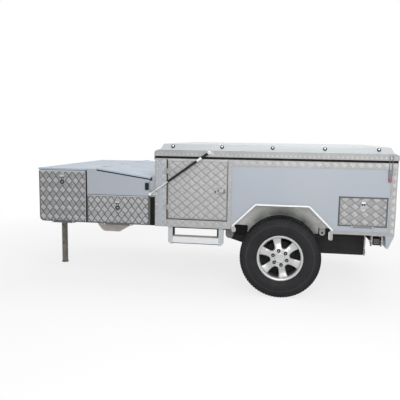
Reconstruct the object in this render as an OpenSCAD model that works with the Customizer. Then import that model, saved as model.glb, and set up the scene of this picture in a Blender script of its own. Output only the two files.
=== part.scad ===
// Off-road camper trailer with a forward-folding lid, standing parked on its wheels and jack.
// Lengths are in millimetres. Pieces are laid out from the axle: +X to the rear, +Z up,
// -Y to the trailer's left. place() then moves them so that the origin is on the ground
// under the middle of the trailer's length.

/* [Body] */
// Length of the main body
body_l = 2234; // [2100:1:2400]
// Width across the body and the front boxes
body_w = 1800; // [1700:1:1900]
// Height of the body's underside above the ground
base_z = 652; // [630:1:680]
// Height of the side walls
side_h = 663; // [620:1:700]
// Thickness of the body's walls
wall_t = 30; // [25:1:36]
// Thickness of the floor
floor_t = 30; // [20:1:40]
// From the front of the body back to the axle
front_to_axle = 1218; // [1180:1:1260]
// Setback of the painted side panels behind the tread plate
panel_setback = 3; // [1:0.5:5]

/* [Side openings] */
// Width of the front corner post, ahead of the door
front_post_w = 120; // [100:1:140]
// Width of the side door's opening
door_w = 589; // [540:1:600]
// Height of the sill below the door
sill_h = 75; // [60:1:90]
// Height of the header above the door
header_h = 12; // [8:1:20]
// Width of the post between the door and the painted panel
mid_post_w = 39; // [30:1:44]
// Width of the rear corner post
rear_post_w = 56; // [45:1:70]
// Height of the tread plate band above the painted panel
top_band_h = 63; // [50:1:80]
// Height of the trim along the bottom of the painted panel
bottom_trim_h = 30; // [20:1:40]
// Width of the rear hatch
hatch_w = 433; // [380:1:440]
// Height of the rear hatch
hatch_h = 274; // [240:1:300]
// From the hatch's opening back to the rear of the body
hatch_to_rear = 68; // [62:1:80]
// Height of the hatch's lower edge above the body's underside
hatch_sill = 76; // [66:1:100]
// Gap round every door and hatch
door_gap = 4; // [3:0.5:6]
// Thickness of the doors and hatches
door_t = 24; // [18:1:28]

/* [Wheel arches] */
// Length of the arch at its feet
arch_foot_l = 935; // [900:1:960]
// Length of the arch's flat top
arch_top_l = 498; // [440:1:540]
// Height of the arch's top above the ground
arch_top_z = 908; // [880:1:930]
// Height of the bend above the arch's feet
arch_bend_z = 694; // [685:1:720]
// Depth of the arch, in from the body's side
arch_depth = 295; // [285:1:305]
// How far the arch's lip stands proud of the side
arch_lip = 26; // [10:1:34]
// Thickness of the arch's sheet
arch_t = 8; // [5:1:10]
// Width of the tabs at the arch's feet
arch_tab_w = 38; // [28:1:44]
// Depth of the arch's inner plate below the body
arch_skirt_h = 60; // [30:1:70]

/* [Lid] */
// Thickness of the rubber seal under the lid
seal_h = 22; // [16:1:26]
// Height of the lid's tread plate band
lid_band_h = 56; // [48:1:62]
// Height of the lid's raised pan
lid_pan_h = 62; // [50:1:64]
// Overhang of the lid's band past the body
lid_over = 6; // [4:1:8]
// Inset of the raised pan's foot from the band's sides
pan_inset = 24; // [16:1:60]
// Inset of the raised pan's foot from the lid's front edge
pan_front_inset = 48; // [38:1:90]
// Inset of the raised pan's foot from the lid's rear edge
pan_rear_inset = 38; // [36:1:60]
// Radius of the lid's upper front and rear edges
lid_edge_r = 30; // [20:1:34]
// Slope of the raised pan's sides, from foot to top
pan_slope = 34; // [20:1:50]
// Thickness of the lid's sheet and frame
lid_t = 22; // [15:1:26]
// Thickness of the boarding on the lid's inside
board_t = 15; // [9:1:18]
// Studs along each side of the lid
stud_n = 5; // [3:1:7]
// Distance between studs
stud_pitch = 474; // [420:1:480]
// Radius of a stud's ring
stud_r = 17; // [12:1:20]

/* [Front boxes] */
// Length of the front box
front_box_l = 509; // [450:1:540]
// Height of the front box
front_box_h = 542; // [500:1:544]
// Radius of the front box's lower front corner
front_box_r = 50; // [30:1:80]
// Length of the locker behind it
locker_l = 641; // [600:1:700]
// Gap between the locker and the body
locker_gap = 57; // [50:1:65]
// Height of the locker's drop door and its frame
locker_door_h = 291; // [260:1:310]
// Flat part of the locker's top, ahead of its lid
locker_flat_l = 103; // [80:1:140]
// Fall of the locker's lid to the rear
locker_fall = 76; // [50:1:100]
// Wall thickness of both boxes
box_t = 13; // [10:1:18]
// Thickness of the locker's sloping lid
locker_lid_t = 15; // [12:1:20]
// Height of the rim above the front box's doors
box_rim_h = 16; // [12:1:24]

/* [Chassis] */
// Height of the chassis rails
rail_h = 80; // [70:1:90]
// Width of the chassis rails
rail_w = 50; // [40:1:55]
// From the centre line to the middle of a rail
rail_y = 560; // [550:1:564]
// Width of a cross member
cross_w = 60; // [50:1:70]
// Height of the drawbar's arms
arm_h = 68; // [56:1:72]
// Width of the drawbar's arms
arm_w = 60; // [50:1:64]
// How far the drawbar's arms reach back under the body
draw_overlap = 218; // [150:1:260]
// From the front box's face to the front end of the drawbar's arms
draw_reach = 215; // [205:1:260]
// From the drawbar's end to the middle of the ball socket
socket_reach = 160; // [130:1:180]
// Radius of the ball socket
socket_r = 25.4; // [25.2:0.1:25.8]
// Depth of the ball socket
socket_depth = 36; // [30:1:40]
// Radius of the coupling's head
coupling_r = 46; // [40:1:52]

/* [Jack and stabiliser legs] */
// From the front box's face forward to the jack
jack_ahead = 145; // [120:1:150]
// Radius of the jack's leg
jack_r = 34; // [30:1:36]
// Wall of the jack's sleeve
jack_wall = 7; // [5:1:8]
// Height of the sleeve's lower end
sleeve_z = 505; // [480:1:530]
// Length of the sleeve
sleeve_l = 545; // [500:1:560]
// Length of the jack's leg
jack_l = 690; // [650:1:700]
// Radius of the pin holes in the jack's leg
pin_hole_r = 10; // [8:1:12]
// Side of the stabiliser leg's tube
leg_s = 65; // [55:1:70]
// Length of the stabiliser leg, from its pivot to its foot
leg_l = 545; // [500:1:560]
// From the rear of the body to the middle of the leg
leg_to_rear = 144; // [136:1:150]
// From the body's side in to the leg's pivot
leg_inset = 70; // [60:1:80]
// Radius of the leg's pivot pin
leg_pin_r = 10; // [8:1:12]

/* [Wheels and suspension] */
// Radius of the tyre
tyre_r = 388; // [380:1:392]
// Width of the tyre
tyre_w = 265; // [245:1:265]
// Radius of the rim's bead seat
seat_r = 205; // [200:1:208]
// Height of the rim's flange above the seat
flange_h = 15; // [12:1:18]
// Number of spokes and wheel nuts
spoke_n = 6; // [5:1:8]
// Turn of the wheels as they stand
spoke_turn = 41; // [0:1:60]
// Pitch circle of the wheel nuts
nut_pcd = 139.7; // [130:0.1:150]
// Radius of the stub axle
stub_r = 24; // [20:1:28]
// Radius of the brake drum
drum_r = 150; // [140:1:160]
// Radius of the brake's backing plate
backing_r = 178; // [165:1:182]
// From the axle forward to the trailing arm's pivot
pivot_ahead = 515; // [490:1:530]
// Height of the trailing arm's pivot
pivot_z = 545; // [530:1:556]
// Height of the trailing arm's box section
trail_h = 76; // [60:1:84]
// Width of the trailing arm's box section
trail_w = 60; // [50:1:66]
// Mean radius of the coil spring
coil_r = 52; // [46:1:56]
// Radius of the coil spring's wire
wire_r = 8; // [6:0.5:9]
// Turns of the coil spring
coil_turns = 5; // [4:1:7]

/* [Gas struts] */
// Along the lid from its front edge to the strut's upper pin
strut_back = 536; // [500:1:560]
// Height of the upper pin above the lid band's lower edge
strut_up = 42; // [30:1:46]
// From the body's front forward to the strut's lower pin
strut_ahead = 39; // [32:1:44]
// Height of the lower pin below the top of the side walls
strut_drop = 345; // [320:1:370]
// Radius of the strut's barrel
barrel_r = 11.5; // [9:0.5:13]
// Length of the strut's barrel
barrel_l = 486; // [450:1:500]
// Radius of the strut's rod
rod_r = 5; // [4:0.5:6]
// Length of rod held inside the barrel at rest
rod_hold = 240; // [220:1:300]
// From the body's side out to the strut's axis
strut_out = 38; // [36:1:44]

/* [Tanks and step] */
// Length of the water tank along the trailer
tank_l = 478; // [430:1:482]
// Depth of the water tank
tank_h = 246; // [200:1:260]
// From the axle back to the water tank
tank_x = 333; // [326:1:338]
// Half the width of the water tank
tank_half_w = 580; // [560:1:582]
// Length of the front tank
front_tank_l = 394; // [340:1:420]
// Depth of the front tank
front_tank_h = 186; // [160:1:200]
// Half the width of the front tank
front_tank_half_w = 350; // [300:1:380]
// Depth of the step's posts below the body
step_h = 172; // [150:1:190]
// Width of a step post
step_post_w = 44; // [36:1:50]
// Height of the step tread's front lip
tread_lip_h = 66; // [50:1:74]
// Depth of the step's tread
tread_d = 100; // [80:1:140]

/* [Hidden] */
$fn = 48;

// Colours
paint = "#aeb6c2";
tread_plate = "#b4b3b2";
pale_skin = "#e2e7ea";
galvanised = "#9fa5a6";
black = "#26272a";
alloy = "#c9ccd0";
tube_steel = "#85796c";
ply = "#b58f60";
lens_red = "#b02020";

// Clearances
run_gap = 0.05;
seat_gap = 0.3;

// Main levels and stations
half_w = body_w / 2;
body_front = -front_to_axle;
body_rear = body_front + body_l;
top_z = base_z + side_h;
floor_z = base_z + rail_h + floor_t;
inner_y = half_w - wall_t;
lid_z = top_z + seal_h + seat_gap;
band_top_z = lid_z + lid_band_h;
pan_top_z = band_top_z + lid_pan_h;
locker_rear = body_front - locker_gap;
locker_front = locker_rear - locker_l;
box_rear = locker_front;
box_front = box_rear - front_box_l;
box_top = base_z + front_box_h;
shell_y = half_w - door_t - door_gap;
draw_front = box_front - draw_reach;
draw_rear = body_front + draw_overlap;
socket_x = draw_front - socket_reach;
jack_x = box_front - jack_ahead;
lamp_t = 14;
nose_x = socket_x - coupling_r;
tail_x = body_rear + lamp_t;
frame_x = (nose_x + tail_x) / 2;

// Moves a piece from the axle's coordinates to the part's own frame
module place() translate([-frame_x, 0, 0]) children();

// A left-hand piece and its mirror image on the right
module both_sides() {
    children();
    mirror([0, 1, 0]) children();
}

// Rectangle between two corners
module rect(x0, z0, x1, z1) translate([x0, z0]) square([x1 - x0, z1 - z0]);

// Block between two corners
module block(low, high) translate(low) cube(high - low);

// Side-view outline (X to the right, Z up) given a thickness from y0 to y1
module slab(y0, y1) translate([0, y1, 0]) rotate([90, 0, 0]) linear_extrude(y1 - y0) children();

// Round bar along X, or along Y, through a point, from one end to the other
module bar_x(x0, x1, y, z, r) translate([x0, y, z]) rotate([0, 90, 0]) cylinder(r=r, h=x1 - x0);
module bar_y(y0, y1, x, z, r) translate([x, y1, z]) rotate([90, 0, 0]) cylinder(r=r, h=y1 - y0);

// Rectangle with round corners, from squares and circles
module soft_rect(x0, z0, x1, z1, r) {
    rect(x0 + r, z0, x1 - r, z1);
    rect(x0, z0 + r, x1, z1 - r);
    for (x = [x0 + r, x1 - r], z = [z0 + r, z1 - r]) translate([x, z]) circle(r);
}

// Points of a bent line moved sideways by t, mitred at its bends
function unit(v) = v / norm(v);
function left_of(v) = [-v[1], v[0]];
function inset(points, t) = [for (i = [0 : len(points) - 1])
    let (before = unit(points[max(i, 1)] - points[max(i, 1) - 1]),
        last = len(points) - 1,
        after = unit(points[min(i, last - 1) + 1] - points[min(i, last - 1)]),
        n1 = left_of(before), n2 = left_of(after))
    points[i] - t * (n1 + n2) / (1 + n1 * n2)];
function backwards(points) = [for (i = [len(points) - 1 : -1 : 0]) points[i]];

// Drop doors turn on a pin along their lower outer edge
hinge_pin_r = 5;
knuckle_r = 9;
hinge_lug_l = 16;
hinge_out = 2;
hinge_drop = 3;
hinge_share = 0.3;
function hinge_ends(x0, x1) = [x0 + hinge_share * (x1 - x0), x1 - hinge_share * (x1 - x0)];

module drop_hinge_pin(x0, x1, z) {
    ends = hinge_ends(x0, x1);
    y = -half_w - hinge_out;
    bar_x(ends[0], ends[1], y, z, hinge_pin_r);
    for (x = [ends[0] - hinge_lug_l, ends[1]]) bar_x(x, x + hinge_lug_l, y, z, knuckle_r);
}

module drop_hinge_room(x0, x1, z) {
    ends = hinge_ends(x0, x1);
    for (x = [ends[0] - hinge_lug_l, ends[1]])
        bar_x(x - door_gap, x + hinge_lug_l + door_gap, -half_w - hinge_out, z, knuckle_r + door_gap);
}

// T-handle lock: a round-ended plate with a folding T bar, standing on the face y = -half_w
lock_w = 52;
lock_h = 112;
lock_plate_t = 5;
lock_bar_r = 7;
lock_bar_l = 46;
module t_lock(x, z) {
    slab(-half_w - lock_plate_t, -half_w)
        soft_rect(x - lock_w / 2, z - lock_h / 2, x + lock_w / 2, z + lock_h / 2, lock_w / 2 - 1);
    grip_y = -half_w - lock_plate_t - 2 * lock_bar_r;
    grip_z = z + lock_h / 5;
    bar_y(grip_y, -half_w - lock_plate_t, x, grip_z, lock_bar_r);
    bar_x(x - lock_bar_l / 2, x + lock_bar_l / 2, grip_y, grip_z, lock_bar_r);
}

// A drop door: outline with its hinge knuckle and lock, less room for the hinge's lugs
module drop_door(x0, x1, z0, lock_z) {
    ends = hinge_ends(x0, x1);
    axis_z = z0 - hinge_drop;
    axis_y = -half_w - hinge_out;
    difference() {
        union() {
            slab(-half_w, -half_w + door_t) children();
            bar_x(ends[0] + door_gap, ends[1] - door_gap, axis_y, axis_z, knuckle_r);
            block([ends[0] + door_gap, axis_y, axis_z], [ends[1] - door_gap, -half_w + door_t / 2, z0 + knuckle_r]);
        }
        drop_hinge_room(x0, x1, axis_z);
        bar_x(x0, x1, axis_y, axis_z, hinge_pin_r + run_gap);
    }
    t_lock((x0 + x1) / 2, lock_z);
}

// Chassis

module chassis_rails() color(galvanised) place() both_sides()
    block([body_front + wall_t, -rail_y - rail_w / 2, base_z],
        [body_rear - wall_t, -rail_y + rail_w / 2, base_z + rail_h]);

// Stations of the cross members between the rails, and of the outriggers to the side walls
cross_stations = [body_front + 90, -pivot_ahead - 80, -60, tank_x + tank_l / 2, body_rear - leg_to_rear];
outrigger_stations = [body_front + 90, -pivot_ahead - 80, body_rear - leg_to_rear];
module cross_members() color(galvanised) place() {
    inside = rail_y - rail_w / 2;
    outside = rail_y + rail_w / 2;
    for (x = cross_stations)
        block([x - cross_w / 2, -inside, base_z], [x + cross_w / 2, inside, base_z + rail_h]);
    both_sides() for (x = outrigger_stations)
        block([x - cross_w / 2, -inner_y, base_z], [x + cross_w / 2, -outside, base_z + rail_h]);
}

// Arms of the A-frame, from under the rails to the coupling
arm_front_y = 70;
function arm_y(x) = arm_front_y + (rail_y - arm_front_y) * (x - draw_front) / (draw_rear - draw_front);
module drawbar_arms() color(galvanised) place() both_sides()
    translate([0, 0, base_z - arm_h]) linear_extrude(arm_h)
        polygon([for (side = [-1, 1]) for (x = side < 0 ? [draw_front, draw_rear] : [draw_rear, draw_front])
            [x, -arm_y(x) + side * arm_w / 2]]);

// Ball coupling: a nose block across the arms, a neck and a domed head over the socket
coupling_lever_l = 120;
module coupling() color(black) place() {
    z0 = base_z - arm_h;
    nose_y = arm_front_y + arm_w / 2;
    nose_l = 70;
    neck_y = 32;
    head_h = socket_depth + 14;
    difference() {
        union() {
            block([draw_front - nose_l, -nose_y, z0], [draw_front, nose_y, base_z]);
            block([socket_x, -neck_y, z0], [draw_front - nose_l, neck_y, z0 + head_h]);
            translate([socket_x, 0, z0]) cylinder(r=coupling_r, h=head_h);
            intersection() {
                translate([socket_x, 0, z0 + head_h]) sphere(r=coupling_r);
                translate([socket_x, 0, z0 + head_h]) cylinder(r=coupling_r, h=coupling_r / 2);
            }
            block([socket_x + coupling_r / 2, -10, z0 + head_h], [socket_x + coupling_lever_l, 10, z0 + head_h + 18]);
        }
        translate([socket_x, 0, z0 - 1]) cylinder(r=socket_r, h=socket_depth + 1);
    }
}

// Jack: sleeve on a flange plate across the arms, cap and crank
sleeve_r = jack_r + run_gap + jack_wall;
module jack_sleeve() color(tube_steel) place() {
    plate_x = 75;
    plate_y = arm_y(jack_x) + arm_w / 2;
    plate_t = 10;
    cap_t = 16;
    crank_r = 9;
    crank_l = 130;
    top = sleeve_z + sleeve_l;
    difference() {
        union() {
            translate([jack_x, 0, sleeve_z]) cylinder(r=sleeve_r, h=sleeve_l);
            block([jack_x - plate_x, -plate_y, base_z], [jack_x + plate_x, plate_y, base_z + plate_t]);
        }
        translate([jack_x, 0, sleeve_z - 1]) cylinder(r=jack_r + run_gap, h=sleeve_l + 2);
    }
    translate([jack_x, 0, top]) cylinder(r=sleeve_r + 4, h=cap_t);
    bar_y(-crank_l, 0, jack_x, top + cap_t + crank_r, crank_r);
    translate([jack_x, 0, top + cap_t]) cylinder(r=crank_r, h=2 * crank_r);
}

// The jack's leg, with pin holes through it and a flat foot
pin_hole_pitch = 110;
pin_hole_z = 238;
pin_hole_n = 4;
module jack_leg() color(tube_steel) place() {
    foot_r = jack_r + 6;
    foot_t = 12;
    difference() {
        translate([jack_x, 0, foot_t]) cylinder(r=jack_r, h=jack_l - foot_t);
        for (i = [0 : pin_hole_n - 1])
            bar_y(-jack_r - 1, jack_r + 1, jack_x, pin_hole_z + i * pin_hole_pitch, pin_hole_r);
    }
    translate([jack_x, 0, 0]) cylinder(r=foot_r, h=foot_t);
}

// Main body

// Side-view outline of the wheel arch, foot to foot over its top
arch_mid_x = 5;
arch_bend = [[arch_mid_x - arch_foot_l / 2, base_z], [arch_mid_x - arch_foot_l / 2, arch_bend_z],
    [arch_mid_x - arch_top_l / 2, arch_top_z], [arch_mid_x + arch_top_l / 2, arch_top_z],
    [arch_mid_x + arch_foot_l / 2, arch_bend_z], [arch_mid_x + arch_foot_l / 2, base_z]];
arch_in_y = half_w - arch_depth;
module arch_outline() polygon(arch_bend);

module floor() color(ply) place() difference() {
    block([body_front + wall_t, -inner_y, base_z + rail_h], [body_rear - wall_t, inner_y, floor_z]);
    both_sides() block([arch_bend[0][0], -inner_y - 1, base_z], [arch_bend[5][0], -arch_in_y + arch_t, top_z]);
}

module front_wall() color(tread_plate) place() {
    block([body_front, -inner_y, base_z], [body_front + wall_t, inner_y, top_z]);
    for (y = lid_hinge_ys) lid_hinge_pin(y);
}

module rear_wall() color(tread_plate) place()
    block([body_rear - wall_t, -inner_y, base_z], [body_rear, inner_y, top_z]);

door_x0 = body_front + front_post_w;
door_x1 = door_x0 + door_w;
panel_x0 = door_x1 + mid_post_w;
panel_x1 = body_rear - rear_post_w;
hatch_x1 = body_rear - hatch_to_rear;
hatch_x0 = hatch_x1 - hatch_w;
hatch_z0 = base_z + hatch_sill;
hatch_z1 = hatch_z0 + hatch_h;
module door_opening() rect(door_x0, base_z + sill_h, door_x1, top_z - header_h);
module panel_outline() rect(panel_x0, base_z + bottom_trim_h, panel_x1, top_z - top_band_h);

// Tread plate border of each side: posts, sill, header, top band and bottom trim
module side_frames() color(tread_plate) place() both_sides()
    slab(-half_w, -inner_y) difference() {
        rect(body_front, base_z, body_rear, top_z);
        door_opening();
        panel_outline();
        arch_outline();
    }

// Painted panel of each side, cut for the arch and the hatch, with the hatch's hinge pin
module side_panels() color(paint) place() both_sides() {
    ends = hinge_ends(hatch_x0 + door_gap, hatch_x1 - door_gap);
    axis_z = hatch_z0 + door_gap - hinge_drop;
    difference() {
        slab(-half_w + panel_setback, -inner_y) difference() {
            panel_outline();
            arch_outline();
            rect(hatch_x0, hatch_z0, hatch_x1, hatch_z1);
        }
        bar_x(ends[0], ends[1], -half_w - hinge_out, axis_z, knuckle_r + door_gap / 4);
    }
    drop_hinge_pin(hatch_x0 + door_gap, hatch_x1 - door_gap, axis_z);
    for (x = [ends[0] - hinge_lug_l, ends[1]])
        block([x, -half_w - hinge_out, axis_z - 34], [x + hinge_lug_l, -half_w + panel_setback, axis_z - 4]);
}

// Side doors, with a recessed pull and surface hinges on the front edge
door_hinge_w = 56;
door_hinge_h = 48;
door_hinge_t = 6;
door_hinge_low = 90;
door_hinge_high = 130;
pull_l = 104;
pull_h = 50;
pull_t = 10;
pull_r = 22;
pull_in = 24;
pull_down = 262;
module side_doors() color(tread_plate) place() both_sides() {
    z0 = base_z + sill_h + door_gap;
    z1 = top_z - header_h - door_gap;
    slab(-half_w, -half_w + door_t) rect(door_x0 + door_gap, z0, door_x1 - door_gap, z1);
    for (z = [z0 + door_hinge_low, z1 - door_hinge_high]) {
        slab(-half_w - door_hinge_t, -half_w)
            rect(door_x0 - door_hinge_w / 2, z, door_x0 + door_hinge_w / 2, z + door_hinge_h);
        translate([door_x0, -half_w - door_hinge_t, z]) cylinder(r=door_hinge_t, h=door_hinge_h);
    }
    pull_x1 = door_x1 - pull_in;
    pull_z1 = z1 - pull_down;
    slab(-half_w - pull_t, -half_w) soft_rect(pull_x1 - pull_l, pull_z1 - pull_h, pull_x1, pull_z1, pull_r);
}

// Mudguard: bent sheet over the wheel, closed by an inner plate that hangs below the body to both sides of
// the spring and leaves the tie-down lug free, with a tab at each foot
spring_room = 12;
module wheel_arches() color(galvanised) place() both_sides() {
    inner = inset(arch_bend, arch_t);
    slab(-half_w - arch_lip, -arch_in_y) polygon(concat(arch_bend, backwards(inner)));
    slab(-arch_in_y, -arch_in_y + arch_t) {
        arch_outline();
        room = coil_r + wire_r + spring_room;
        for (ends = [[arch_bend[0][0], coil_x - room], [coil_x + room, lug_x - lug_r - spring_room]])
            rect(ends[0], base_z - arch_skirt_h, ends[1], base_z);
    }
    // Each tab: outer edge, direction inwards, lower end
    tabs = [[arch_bend[0][0], 1, base_z - 20], [arch_bend[5][0], -1, base_z - 57]];
    for (tab = tabs) {
        edge = tab[0];
        far = edge + tab[1] * arch_tab_w;
        slab(-half_w - arch_lip, -half_w - arch_lip + arch_t) {
            rect(min(edge, far), tab[2] + arch_tab_w / 2, max(edge, far), base_z + 20);
            translate([(edge + far) / 2, tab[2] + arch_tab_w / 2]) circle(arch_tab_w / 2);
        }
    }
}

// Rubber rings under the main lid and under the locker's lid
seal_w = 22;
seal_in = 1;
module ring(x0, x1, y, width) difference() {
    translate([x0, -y]) square([x1 - x0, 2 * y]);
    translate([x0 + width, -y + width]) square([x1 - x0 - 2 * width, 2 * (y - width)]);
}
module seals() color(black) place() {
    translate([0, 0, top_z]) linear_extrude(seal_h)
        ring(body_front + seal_in, body_rear - seal_in, half_w - seal_in, seal_w);
    locker_slope() linear_extrude(locker_seal_h)
        ring(seal_in, locker_slope_l - seal_in, half_w - panel_setback - seal_in, box_t);
}

// Front boxes

module front_box_outline(out) {
    r = front_box_r + out;
    x0 = box_front - out;
    z0 = base_z - out;
    rect(x0 + r, z0, box_rear + out, box_top + out);
    rect(x0, z0 + r, box_rear + out, box_top + out);
    translate([x0 + r, z0 + r]) circle(r);
}

// Leaf of a drop door's hinge, under a box's floor
module floor_hinge(x0, x1) {
    axis_z = base_z + door_gap - hinge_drop;
    ends = hinge_ends(x0, x1);
    drop_hinge_pin(x0, x1, axis_z);
    for (x = [ends[0] - hinge_lug_l, ends[1]])
        block([x, -half_w - hinge_out, base_z - 7], [x + hinge_lug_l, -shell_y + 34, base_z]);
}

module front_box() color(paint) place() {
    slab(-shell_y, shell_y) difference() {
        front_box_outline(0);
        front_box_outline(-box_t);
    }
    block([box_front, -half_w, box_top - box_rim_h], [box_rear, -shell_y, box_top]);
    block([box_front, shell_y, box_top - box_rim_h], [box_rear, half_w, box_top]);
    both_sides() floor_hinge(box_front + door_gap, box_rear - door_gap);
}

front_lock_down = 106;
module front_door() drop_door(box_front + door_gap, box_rear - door_gap, base_z + door_gap,
        box_top - front_lock_down)
    intersection() {
        front_box_outline(-door_gap);
        rect(box_front, base_z, box_rear, box_top - box_rim_h - door_gap);
    }
module front_door_left() color(tread_plate) place() front_door();
module front_door_right() color(tread_plate) place() mirror([0, 1, 0]) front_door();

// The locker's lid slopes down to the rear from the end of the flat top
locker_seal_h = 12;
locker_lid_over = 10;
slope_x0 = locker_front + locker_flat_l;
slope_run = locker_rear - slope_x0;
slope_angle = atan(locker_fall / slope_run);
locker_slope_l = slope_run / cos(slope_angle);
slope_z0 = box_top - locker_lid_t;
module locker_slope() translate([slope_x0, 0, slope_z0]) rotate([0, slope_angle, 0]) children();
module locker_outline() polygon([[locker_front, base_z], [locker_rear, base_z],
    [locker_rear, slope_z0 - locker_fall], [slope_x0, slope_z0], [slope_x0, box_top], [locker_front, box_top]]);

locker_hinge_x = slope_x0 + 2;
locker_hinge_z = box_top + 9;
locker_hinge_ys = [-600, 0, 600];
locker_pin_r = 4;
locker_knuckle_r = 7;
locker_hinge_l = 90;

module locker_box() color(paint) place() {
    shelf_z = base_z + locker_door_h;
    slab(-shell_y, shell_y) difference() {
        locker_outline();
        rect(locker_front + box_t, base_z + box_t, locker_rear - box_t, shelf_z - box_t / 2);
        polygon([[locker_front + box_t, shelf_z + box_t / 2], [locker_rear - box_t, shelf_z + box_t / 2],
            [locker_rear - box_t, box_top],
            [slope_x0 + box_t, box_top], [slope_x0 + box_t, box_top - 2 * box_t],
            [locker_front + box_t, box_top - 2 * box_t]]);
    }
    both_sides() {
        slab(-half_w + panel_setback, -shell_y) intersection() {
            locker_outline();
            rect(locker_front + door_gap, shelf_z, locker_rear, box_top);
        }
        floor_hinge(locker_front + door_gap, locker_rear - door_gap);
    }
    for (y = locker_hinge_ys) {
        half = locker_hinge_l / 2;
        bar_y(y - half, y + half, locker_hinge_x, locker_hinge_z, locker_pin_r);
        for (end = [y - half, y + half - hinge_lug_l])
            bar_y(end, end + hinge_lug_l, locker_hinge_x, locker_hinge_z, locker_knuckle_r);
        for (end = [y - half, y + half - hinge_lug_l])
            block([slope_x0 - 40, end, box_top], [slope_x0, end + hinge_lug_l, locker_hinge_z]);
    }
}

module locker_door() drop_door(locker_front + door_gap, locker_rear - door_gap, base_z + door_gap,
        base_z + locker_door_h - 96)
    rect(locker_front + door_gap, base_z + door_gap, locker_rear - door_gap, base_z + locker_door_h - door_gap);
module locker_door_left() color(tread_plate) place() locker_door();
module locker_door_right() color(tread_plate) place() mirror([0, 1, 0]) locker_door();

module locker_lid() color(paint) place() difference() {
    union() {
        locker_slope() block([door_gap, -half_w - 4, locker_seal_h + seat_gap],
            [locker_slope_l + locker_lid_over, half_w + 4, locker_seal_h + seat_gap + locker_lid_t]);
        for (y = locker_hinge_ys) {
            half = locker_hinge_l / 2 - hinge_lug_l - 2;
            bar_y(y - half, y + half, locker_hinge_x, locker_hinge_z, locker_knuckle_r);
            block([locker_hinge_x, y - half, locker_hinge_z - locker_knuckle_r],
                [locker_hinge_x + 40, y + half, locker_hinge_z]);
        }
    }
    for (y = locker_hinge_ys) {
        bar_y(y - locker_hinge_l, y + locker_hinge_l, locker_hinge_x, locker_hinge_z, locker_pin_r + run_gap);
        for (side = [-1, 1])
            bar_y(y + side * (locker_hinge_l - hinge_lug_l) / 2 - hinge_lug_l / 2 - 2,
                y + side * (locker_hinge_l - hinge_lug_l) / 2 + hinge_lug_l / 2 + 2,
                locker_hinge_x, locker_hinge_z, locker_knuckle_r + 3);
    }
}

// Black closing posts in the gap between the locker and the body
module gap_posts() color(black) place() both_sides()
    block([locker_rear, -half_w + 26, base_z], [body_front, -half_w + 66, base_z + locker_door_h - 8]);

// Small louvred vent on the locker's side
vent_w = 36;
vent_h = 68;
vent_t = 12;
module side_vents() color(black) place() both_sides() {
    x1 = locker_rear - 5;
    z0 = base_z + locker_door_h + 62;
    face = -half_w + panel_setback;
    slab(face - vent_t, face) difference() {
        soft_rect(x1 - vent_w, z0, x1, z0 + vent_h, 5);
        for (i = [1 : 3]) rect(x1 - vent_w + 7, z0 + i * vent_h / 4 - 3, x1 - 7, z0 + i * vent_h / 4 + 3);
    }
    slab(face - 3, face) soft_rect(x1 - vent_w + 2, z0 + 2, x1 - 2, z0 + vent_h - 2, 4);
}

// Tank slung under the drawbar's arms, with its lower corners cut back
module front_tank() color(pale_skin) place() {
    x0 = locker_front - 122;
    x1 = x0 + front_tank_l;
    z1 = base_z - arm_h;
    z0 = z1 - (front_tank_h - arm_h);
    cut = 58;
    slab(-front_tank_half_w, front_tank_half_w)
        polygon([[x0 + 1.5 * cut, z0], [x1 - cut, z0], [x1, z0 + cut], [x1, z1], [x0, z1], [x0, z0 + cut]]);
}

// Step under each side door
step_x0 = door_x0 + 9;
step_x1 = door_x1 - 38;
step_y = half_w - 18;
step_tread_t = 6;
module step_posts() color(paint) place() both_sides() {
    z0 = base_z - step_h;
    chamfer = 20;
    // Each post: its outer edge, and the direction from there to the tread
    posts = [[step_x0, 1], [step_x1, -1]];
    for (post = posts) {
        far = post[0] + post[1] * step_post_w;
        slab(-step_y, -step_y + 40)
            polygon([[post[0], base_z], [post[0], z0 + chamfer], [post[0] + post[1] * chamfer, z0],
                [far, z0], [far, base_z]]);
        slab(-step_y + 40, -step_y + tread_d)
            rect(min(far, far - post[1] * 8), z0, max(far, far - post[1] * 8), base_z - step_h / 2);
    }
}

module step_treads() color(paint) place() both_sides() {
    z0 = base_z - step_h + 8;
    x0 = step_x0 + step_post_w;
    x1 = step_x1 - step_post_w;
    slab(-step_y, -step_y + step_tread_t) rect(x0, z0, x1, z0 + tread_lip_h);
    block([x0, -step_y + step_tread_t, z0 + tread_lip_h - step_tread_t], [x1, -step_y + tread_d, z0 + tread_lip_h]);
}

// Suspension: one trailing arm with a coil spring and a shock absorber on each side

hanger_t = 8;
pivot_bolt_r = 12;
module arm_hangers() color(galvanised) place() both_sides() {
    reach = 40;
    gap = trail_w / 2 + hanger_gap;
    for (y = [-rail_y - gap - hanger_t, -rail_y + gap]) slab(y, y + hanger_t) {
        rect(-pivot_ahead - reach, pivot_z, -pivot_ahead + reach, base_z);
        translate([-pivot_ahead, pivot_z]) circle(reach);
    }
    block([-pivot_ahead - reach, -rail_y - gap - hanger_t, base_z - hanger_t],
        [-pivot_ahead + reach, -rail_y + gap + hanger_t, base_z]);
    bar_y(-rail_y - gap - 20, -rail_y + gap + 20, -pivot_ahead, pivot_z, pivot_bolt_r);
}

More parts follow.
